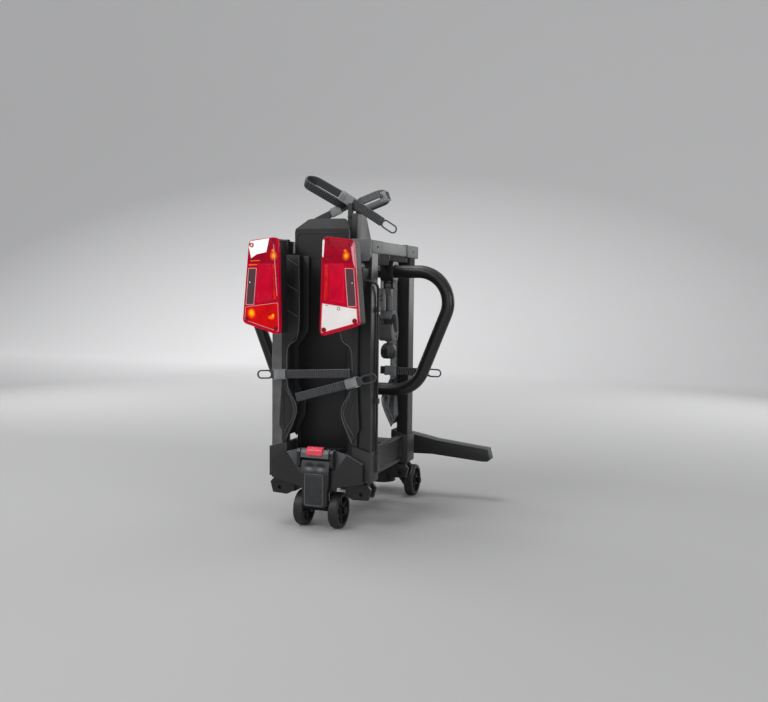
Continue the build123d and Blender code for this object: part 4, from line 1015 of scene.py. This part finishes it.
def cover():
    parts = [block(-38, 38, -14, -10, 99.5, 188, 0.5)]
    front, fold = -21.5, -10.8
    corners = [
        (37.7, front, 99.5), (41, front, 99.5), (116, front, 116), (116, front, 162),
        (77, front, 180.5), (46, fold, 188), (37.7, fold, 188), (37.7, front, 126),
    ]
    post = [(-10, 140), (-10, 190), (-27, 190), (-31, 184), (-31, 152), (-25, 146)]
    for sign in SIDES.values():
        half = joined(
            soften(plate(corners, [(0, 1, 2, 3, 4, 7), (4, 5, 6, 7)], -10), 1.1, 4, 3),
            soften(slab(post, 37.7, 46.3, "x"), 1.2, 30, 3),
            block(41.5, 46.5, -11, 5, 104, 128, 0.5),
            block(23, 37, -14, -10.5, 88, 101, 0.5),
        )
        parts.append(moved(half, Matrix.Scale(sign, 4, (1, 0, 0))))
    piece_from(joined(*parts), "rear_cover_facets", "spine", "moulding", ("rear_cover",), smooth=24)


def pedal():
    """The pedal's tongue: a sloped top with two thumb hollows, and a tapered toe."""
    front, back, fold, top, half = -32, -15.5, 134, 163.6, 35.6
    right = [(half, fold), (half, 114), (31.6, 92), (31.6, 60), (25.5, 54)]
    toe = slab(right + [(-x, z) for x, z in right[::-1]], front, back)
    columns, rows = 28, 12
    shape = bmesh.new()
    grid = []
    for row in range(rows + 1):
        z = fold + (top - fold) * row / rows
        line = []
        for column in range(columns + 1):
            x = -half + 2 * half * column / columns
            y = front + 7.5 * (row / rows) ** 1.2
            for hollow in (-14, 14):
                reach = ((x - hollow) / 8.5) ** 2 + ((z - 149) / 5) ** 2
                y += 3 * math.exp(-reach)
            line.append(shape.verts.new((x, y, z)))
        grid.append(line)
    for low, high in zip(grid, grid[1:]):
        for column in range(columns):
            shape.faces.new((low[column], low[column + 1], high[column + 1], high[column]))
    border = [edge for edge in shape.edges if edge.is_boundary]
    for item in bmesh.ops.extrude_edge_only(shape, edges=border)["geom"]:
        if isinstance(item, bmesh.types.BMVert):
            item.co.y = -18.5
    tongue = joined(soften(toe, 1, 30, 3), shape)
    piece_from(tongue, "foot_pedal_tongue", "pedal", "moulding", ("foot_pedal",), smooth=40)

    outline = [(-24.5, 58), (24.5, 58), (24.5, 134), (-24.5, 134)]
    wide = rounded(outline, 7, 5)
    rim = framed(wide, rounded(shrunk(outline, 1.6), 5.6, 5), -35, -33.6)
    # The pad's rim is painted lighter as a highlight.
    piece_from(soften(rim, 0.35), "pedal_pad_rim", "pedal", "pad", (), painted_sheen_grey)
    parts = [soften(slab(wide, -34.2, -32), 0.4)]
    for index in range(9):
        x = -16 + index * 4
        parts.append(block(x - 0.5, x + 0.5, -34.5, -34.1, 66, 126, 0.15))
    piece_from(joined(*parts), "pedal_pad_tread", "pedal", "pad", ("pedal_pad",))


def board():
    """The panel between the trays: a flange with a sloped top, a sunk field and a hollow back."""
    front, fold, back = 55, 711, 61
    corners = [
        (-79, front, 172.5), (42.5, front, 172.5), (48, front, 178), (48, front, 703), (46, front, fold),
        (43.5, 58.5, 727), (38, 59.5, 733.5), (30, 59.9, 735), (-52, 59.9, 735), (-60, 59.7, 733.5),
        (-92, front, fold), (-94, front, 703), (-84, front, 178),
    ]
    face = plate(corners, [(0, 1, 2, 3, 4, 10, 11, 12), (4, 5, 6, 7, 8, 9, 10)], back)
    field = rounded([(-77, 180), (41, 180), (42.5, 700), (-87, 700)], 12, 6)
    line = [Vector((x, front - 0.2, z)) for x, z in field]
    rear = rounded([(-70, 184), (34, 184), (36, 700), (-80, 700)], 16, 5)
    hollow = rounded([(-66, 188), (30, 188), (32, 696), (-76, 696)], 12, 5)
    parts = [
        soften(face, 1.2, 6, 3),
        tube(evenly(line + line[:1], 5), 0.9, 8),
        soften(framed(rear, hollow, back - 0.5, 75), 0.8),
    ]
    for z in (250, 411, 572):
        parts.append(block(-72, 30.5, back - 0.5, 74, z - 2, z + 2, 0.5))
    body = body_of["plate_board"]
    piece_from(joined(*parts), "plate_board_panel", body, "board", ("plate_board",), smooth=24)


# Crossbars

def crossbar(side):
    """The grey bar, the moulded bracket in front, two sleeves with rivets and a rubber band. On the left the
    bracket and sleeves are painted black as shade.
    """
    inner, outer, low, high = 97, 127, 650, 680

    def sleeve(start, end, proud):
        x0, x1, z0, z1 = inner - proud, outer + proud, low - proud, high + proud
        return soften(slab(rounded([(x0, z0), (x1, z0), (x1, z1), (x0, z1)], 3.2, 3), start, end), 0.6)

    def put(name, paint, *shapes, replaced=None):
        wing_piece(side, joined(*shapes), f"crossbar_{name}", "bar_metal", replaced, paint)

    put("tube", None, sleeve(2, 322, -0.4), replaced="crossbar")
    cap = framed(
        [(96.6, 276.6), (127.6, 276.6), (127.6, 319.4), (96.6, 319.4)],
        [(98, 278), (126, 278), (126, 318), (98, 318)], 622, 649.8, "z",
    )
    put(
        "rail", rail_black, block(101.5, 123, 44, 130, 625, 650.5, 1),
        block(101.5, 123, 130, 276, 636.4, 650.5, 1), soften(cap, 0.5),
    )
    ribs = [block(101, 124.2, y, y + 2.4, 637, 650.2, 0.5) for y in (55, 128, 262)]
    put("sleeves", bracket_paint_shaded_left[side], sleeve(0.4, 76, 0.5), *ribs, sleeve(262, 347, 0.9))
    bracket = [
        (80, low - 2), (inner + 7.5, low - 2), (inner + 8.5, low - 19), (outer - 7, low - 19),
        (outer, low - 8), (outer, high + 1), (outer - 2, high + 2), (80, high + 2),
    ]
    put("bracket", bracket_paint_shaded_left[side], soften(slab(bracket, -11, -0.6), 1.4, 30, 3))
    put("band", paints["cable"], sleeve(-0.6, 0.8, 0.2), sleeve(254, 262.5, 1.2))
    dome = [(0, 1.6), (1.6, 1.4), (2.9, 0.7), (3.3, -0.3)]
    heads = [moved(turned(dome, 16), facing(outer + 0.5, y, 665, (1, 0, 0))) for y in (38, 304)]
    put("rivets", paints["pin_steel"], *heads)


# The hanging clamp

# Where the clamp's rod hangs
ROD_X = 113.5
ROD_Y = 160


def claw_hook():
    """The hook: a flat bar that bends over the mouth and grows thin and narrow to its tip."""
    bend = [
        (179, 455), (180, 470), (178, 488), (170, 503), (157, 510.5), (143, 509), (134.5, 501),
        (131.5, 494.5),
    ]
    section = (
        (-1, -0.2), (-0.9, -0.5), (0.9, -0.5), (1, -0.2), (1, 0.2), (0.86, 0.5), (-0.86, 0.5), (-1, 0.2),
    )
    spine = curve_through([(ROD_X, *point) for point in bend], 5)
    sections = []
    for index, (place, heading) in enumerate(zip(spine, directions(spine))):
        out = heading.cross(Vector((1, 0, 0)))
        share = index / (len(spine) - 1)
        thick = 10 - 6 * max(0, share - 0.55) / 0.45
        half = 17.5 - 4 * max(0, share - 0.7) / 0.3
        sections.append([place + Vector((half * a, 0, 0)) + out * (thick * b) for a, b in section])
    return swept(sections)


def clamp_knob():
    """The knob under the clamp, a bell with grooves for the fingers."""
    knob = turned([
        (0, 399.5), (5.2, 399.5), (5.2, 432), (8, 434.5), (12, 432.5), (17.5, 426), (19.8, 418), (19.8, 408),
        (18, 401), (13, 396.5), (0, 396),
    ], 48)
    collar, grooves = 8, 6
    for vertex in knob.verts:
        reach = math.hypot(vertex.co.x, vertex.co.y)
        if reach > collar:
            turn = math.atan2(vertex.co.y, vertex.co.x)
            drawn = 1 - 0.1 * max(0, math.cos(grooves * turn)) ** 2 * min(1, (reach - collar) / 6)
            vertex.co.x *= drawn
            vertex.co.y *= drawn
    shifted(knob, ROD_X, ROD_Y, 0)
    piece_from(knob, "low_knob_grip", "low_knob", "moulding", ("low_clamp_knob",), smooth=40)


def claw():
    """A hook with a ribbed mouth over a rounded jaw, on a flat tongue and a ribbed rod."""
    x, y, pin_z = ROD_X, ROD_Y, 577

    def put(name, paint, *shapes, replaced=(), smooth=32):
        piece_from(joined(*shapes), f"low_arm_{name}", "low_arm", "cast_metal", replaced, paint, smooth)

    eye = turned([(4.1, -7), (9, -7), (9, 7), (4.1, 7), (4.1, -7)])
    rod = turned([(0, 508), (8, 508), (8, 552), (7, 554.5), (7, 560), (0, 560)])
    parts = [
        moved(soften(eye, 0.6), facing(x, y, pin_z, (1, 0, 0))),
        block(x - 7, x + 7, y - 8, y + 8, 553, pin_z - 7.5, 0.8),
        shifted(rod, x, y, 0),
        block(x - 2, x + 2, y - 9.2, y - 6.5, 514, 556, 0.5),
        block(94.2, 97.5, 128, 176, 446, 506, 1.2),
    ]
    # The leaf is painted light grey as a highlight, where it is lit.
    put("leaf", sleeve_grey, block(98, 101, 118, 163, 514, 570, 1))
    marks = []
    for z in (548, 538):
        mark = [(125, z), (131, z + 2), (138, z + 1), (146, z + 4), (146, z + 6), (125, z + 3)]
        marks.append(soften(slab(mark, 100.6, 102, "x"), 0.4))
    put("marks", rail_black, *marks)
    # The hook and its lip are painted pale as highlights where they catch the light.
    put("hook", painted_highlight_grey, claw_hook())

    jaw_side = [
        (131, 462), (130.6, 476), (134, 482), (139, 482.5), (143, 477), (149, 468), (158, 461), (170, 459),
        (182, 461), (183, 452), (176, 441), (146, 440.5), (135, 448),
    ]
    lip = curve_through([(x + 17, *point) for point in jaw_side[2:9]], 4)
    put("lip", painted_highlight_grey, tube(lip, 1.3, 10))
    stub = turned([(0, 3), (3.4, 3), (4.4, 2), (4.4, -3)], 18)
    stud = turned([(0, 402), (4.8, 402), (4.8, 438), (8.5, 438.5), (8.5, 442), (0, 442)], 20)
    parts += [
        soften(slab(jaw_side, x - 19, x + 17.5, "x"), 4.5, 20, 4),
        moved(stub, facing(x + 17, 170, 452, (1, 0, 0))),
        shifted(stud, x, y, 0),
    ]
    for index in range(6):
        near, z = 171 - index * 0.9, 474 + index * 4.6
        parts.append(block(x - 15, x + 15, near, near + 4.5, z, z + 2.2, 0.4))
    put("claw", claw_grey, *parts, replaced=("low_clamp_arm",), smooth=36)


# The cups

def cup_beads(side, row, y):
    """Raised beads along the cup's front wall and round its sunk leaf, painted pale as highlights."""
    front = y - 9

    def bead(points, depth, radius):
        line = curve_through([(x, front + depth, z) for x, z in points], 5)
        return tube(evenly(line, 4), radius, 8)

    edge = [(85.2, 208), (61.2, 260), (59.2, 292), (81.2, 335), (81.2, 425), (53.2, 465), (53.2, 645)]
    leaf = [(89, 226), (67, 262), (65.5, 288), (86, 330)]
    beads = [bead(edge, -0.1, 0.9), bead(leaf, 0.1, 0.7)]
    for z in (500, 560, 620):
        rib = [(56, z), (56, z + 2), (83, z + 17), (83, z + 15)]
        beads.append(soften(slab(rib, front - 1, front + 0.4), 0.3))
    if row == "front":
        stalk = block(84, 96.8, front + 2.5, front + 17, 200.8, 236, 0.6)
        wing_piece(side, stalk, "cup_stalk", "moulding")
    wing_piece(side, joined(*beads), f"{row}_cup_beads", "moulding", paint=painted_highlight_grey)


lay_cable()
for name in STRAPS:
    tray_strap(name)
    buckle_lever(name)
for side, sign in SIDES.items():
    lamp(side, sign)
    lamp_lead(side)
top_strap_set()
cover()
pedal()
board()
for side in SIDES:
    lamp_bracket(side)
    crossbar(side)
    cup_beads(side, "front", 0)
    cup_beads(side, "rear", 277)
claw()
clamp_knob()

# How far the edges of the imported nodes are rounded
WIDTHS = {
    "coupling_lever": 2.4, "top_clamp_arm": 1.6, "low_clamp_block": 1.6, "top_clamp_block": 1.6,
    "latch_lid": 1.2, "release_button": 2, "coupling_head": 1.6, "front_cross_member": 1,
    "rear_cross_member": 1, "main_beam": 1.2, "junction_box": 1,
}
for node in frame["nodes"]:
    if node not in done:
        # The latch lid is painted lighter as a sheen.
        dressed(node, WIDTHS.get(node, 0.9), painted_sheen_grey if node == "latch_lid" else None)


# Studio

def studio_floor():
    """A pale floor that rises into a backdrop, with a painted pool of light behind the rack."""
    floor_z = at(0, 0, 0).z
    wall, bend, steps = 3.6, 2.4, 12
    profile = [(-9, 0), (wall, 0)]
    for step in range(1, steps + 1):
        turn = math.radians(90 * step / steps)
        profile.append((wall + bend * math.sin(turn), bend * (1 - math.cos(turn))))
    profile.append((wall + bend, 9))
    shape = bmesh.new()
    rows = [[shape.verts.new((x, y, floor_z + z)) for x in (-14, 14)] for y, z in profile]
    for before, after in zip(rows, rows[1:]):
        shape.faces.new((before[0], before[1], after[1], after[0]))
    mesh = bpy.data.meshes.new("studio_floor")
    shape.to_mesh(mesh)
    shape.free()
    for polygon in mesh.polygons:
        polygon.use_smooth = True
    paper = Finish("Studio paper", (0.49, 0.49, 0.492), 0.85, 0, {"Emission Strength": 1})
    paper.tint(paper.speckle(2, 3) * 0.08, (0.5, 0.5, 0.5))
    inputs = {0: paper.stretched(0.222, 0, 0.588), 1: (-0.578, 0, 0)}
    far = paper.signal("ShaderNodeVectorMath", {"operation": "DISTANCE"}, inputs, "Value")
    # Painted pool of light: camera rays see the paper brighter round a point behind the rack.
    painted_light_pool = paper.ramp(far, (0, 0.66), (1, 0.24)) * paper.ramp(paper.axis("Y") * 0.25, (0.08, 0), (0.9, 1))
    rays = paper.node("ShaderNodeLightPath").outputs
    seen = Signal(paper, rays["Is Camera Ray"]) + Signal(paper, rays["Is Glossy Ray"]) * 0.5
    inputs = {0: seen * painted_light_pool, 6: (0, 0, 0, 1), 7: (1, 1, 1.01, 1)}
    paper.feed("Emission Color", paper.node("ShaderNodeMix", {"data_type": "RGBA"}, inputs).outputs[2])
    mesh.materials.append(paper.material)
    linked("studio_floor", mesh)


def studio_lights():
    """A dim sky and soft square lamps round the middle of the rack."""
    world = bpy.data.worlds.new("Studio")
    bpy.context.scene.world = world
    world.use_nodes = True
    sky = world.node_tree.nodes["Background"].inputs
    sky["Color"].default_value = (0.8, 0.81, 0.83, 1)
    sky["Strength"].default_value = 0.38

    middle = at(20, 180, 400)
    for name, place, size, power in (
        ("Key", (-1.1, -2.3, 1.9), 1.5, 34),
        ("Front", (1.3, -3.2, 0.6), 2.4, 17),
        ("Side", (2.9, -1.1, 0.5), 1, 16),
        ("Rim", (1.5, 2.6, 0.9), 1.6, 18),
        ("Left rim", (-2.6, 1.4, 1), 1.2, 18),
        ("Top", (-0.8, 0, 2.9), 1.5, 34),
    ):
        light = bpy.data.lights.new(name, "AREA")
        light.shape = "SQUARE"
        light.size = size
        light.energy = power
        stand = linked(name, light)
        stand.location = middle + Vector(place)
        stand.visible_camera = False
        stand.rotation_euler = (middle - stand.location).to_track_quat("-Z", "Y").to_euler()


def studio_camera():
    """The camera that was fitted to the photograph."""
    camera = bpy.data.cameras.new("Camera")
    camera.sensor_width = 36
    camera.lens = 41.62
    camera.clip_end = 60
    viewer = linked("Camera", camera)
    viewer.location = at(845, -1913.2, 564.9)
    yaw, pitch, roll = math.radians(19.73), math.radians(3.91), math.radians(0.64)
    heading = Vector((-math.sin(yaw) * math.cos(pitch), math.cos(yaw) * math.cos(pitch), -math.sin(pitch)))
    turn = heading.to_track_quat("-Z", "Y").to_matrix() @ Matrix.Rotation(roll, 3, "Z")
    viewer.rotation_euler = turn.to_euler()
    bpy.context.scene.camera = viewer
    bpy.context.scene.view_settings.view_transform = "Standard"


studio_floor()
studio_lights()
studio_camera()
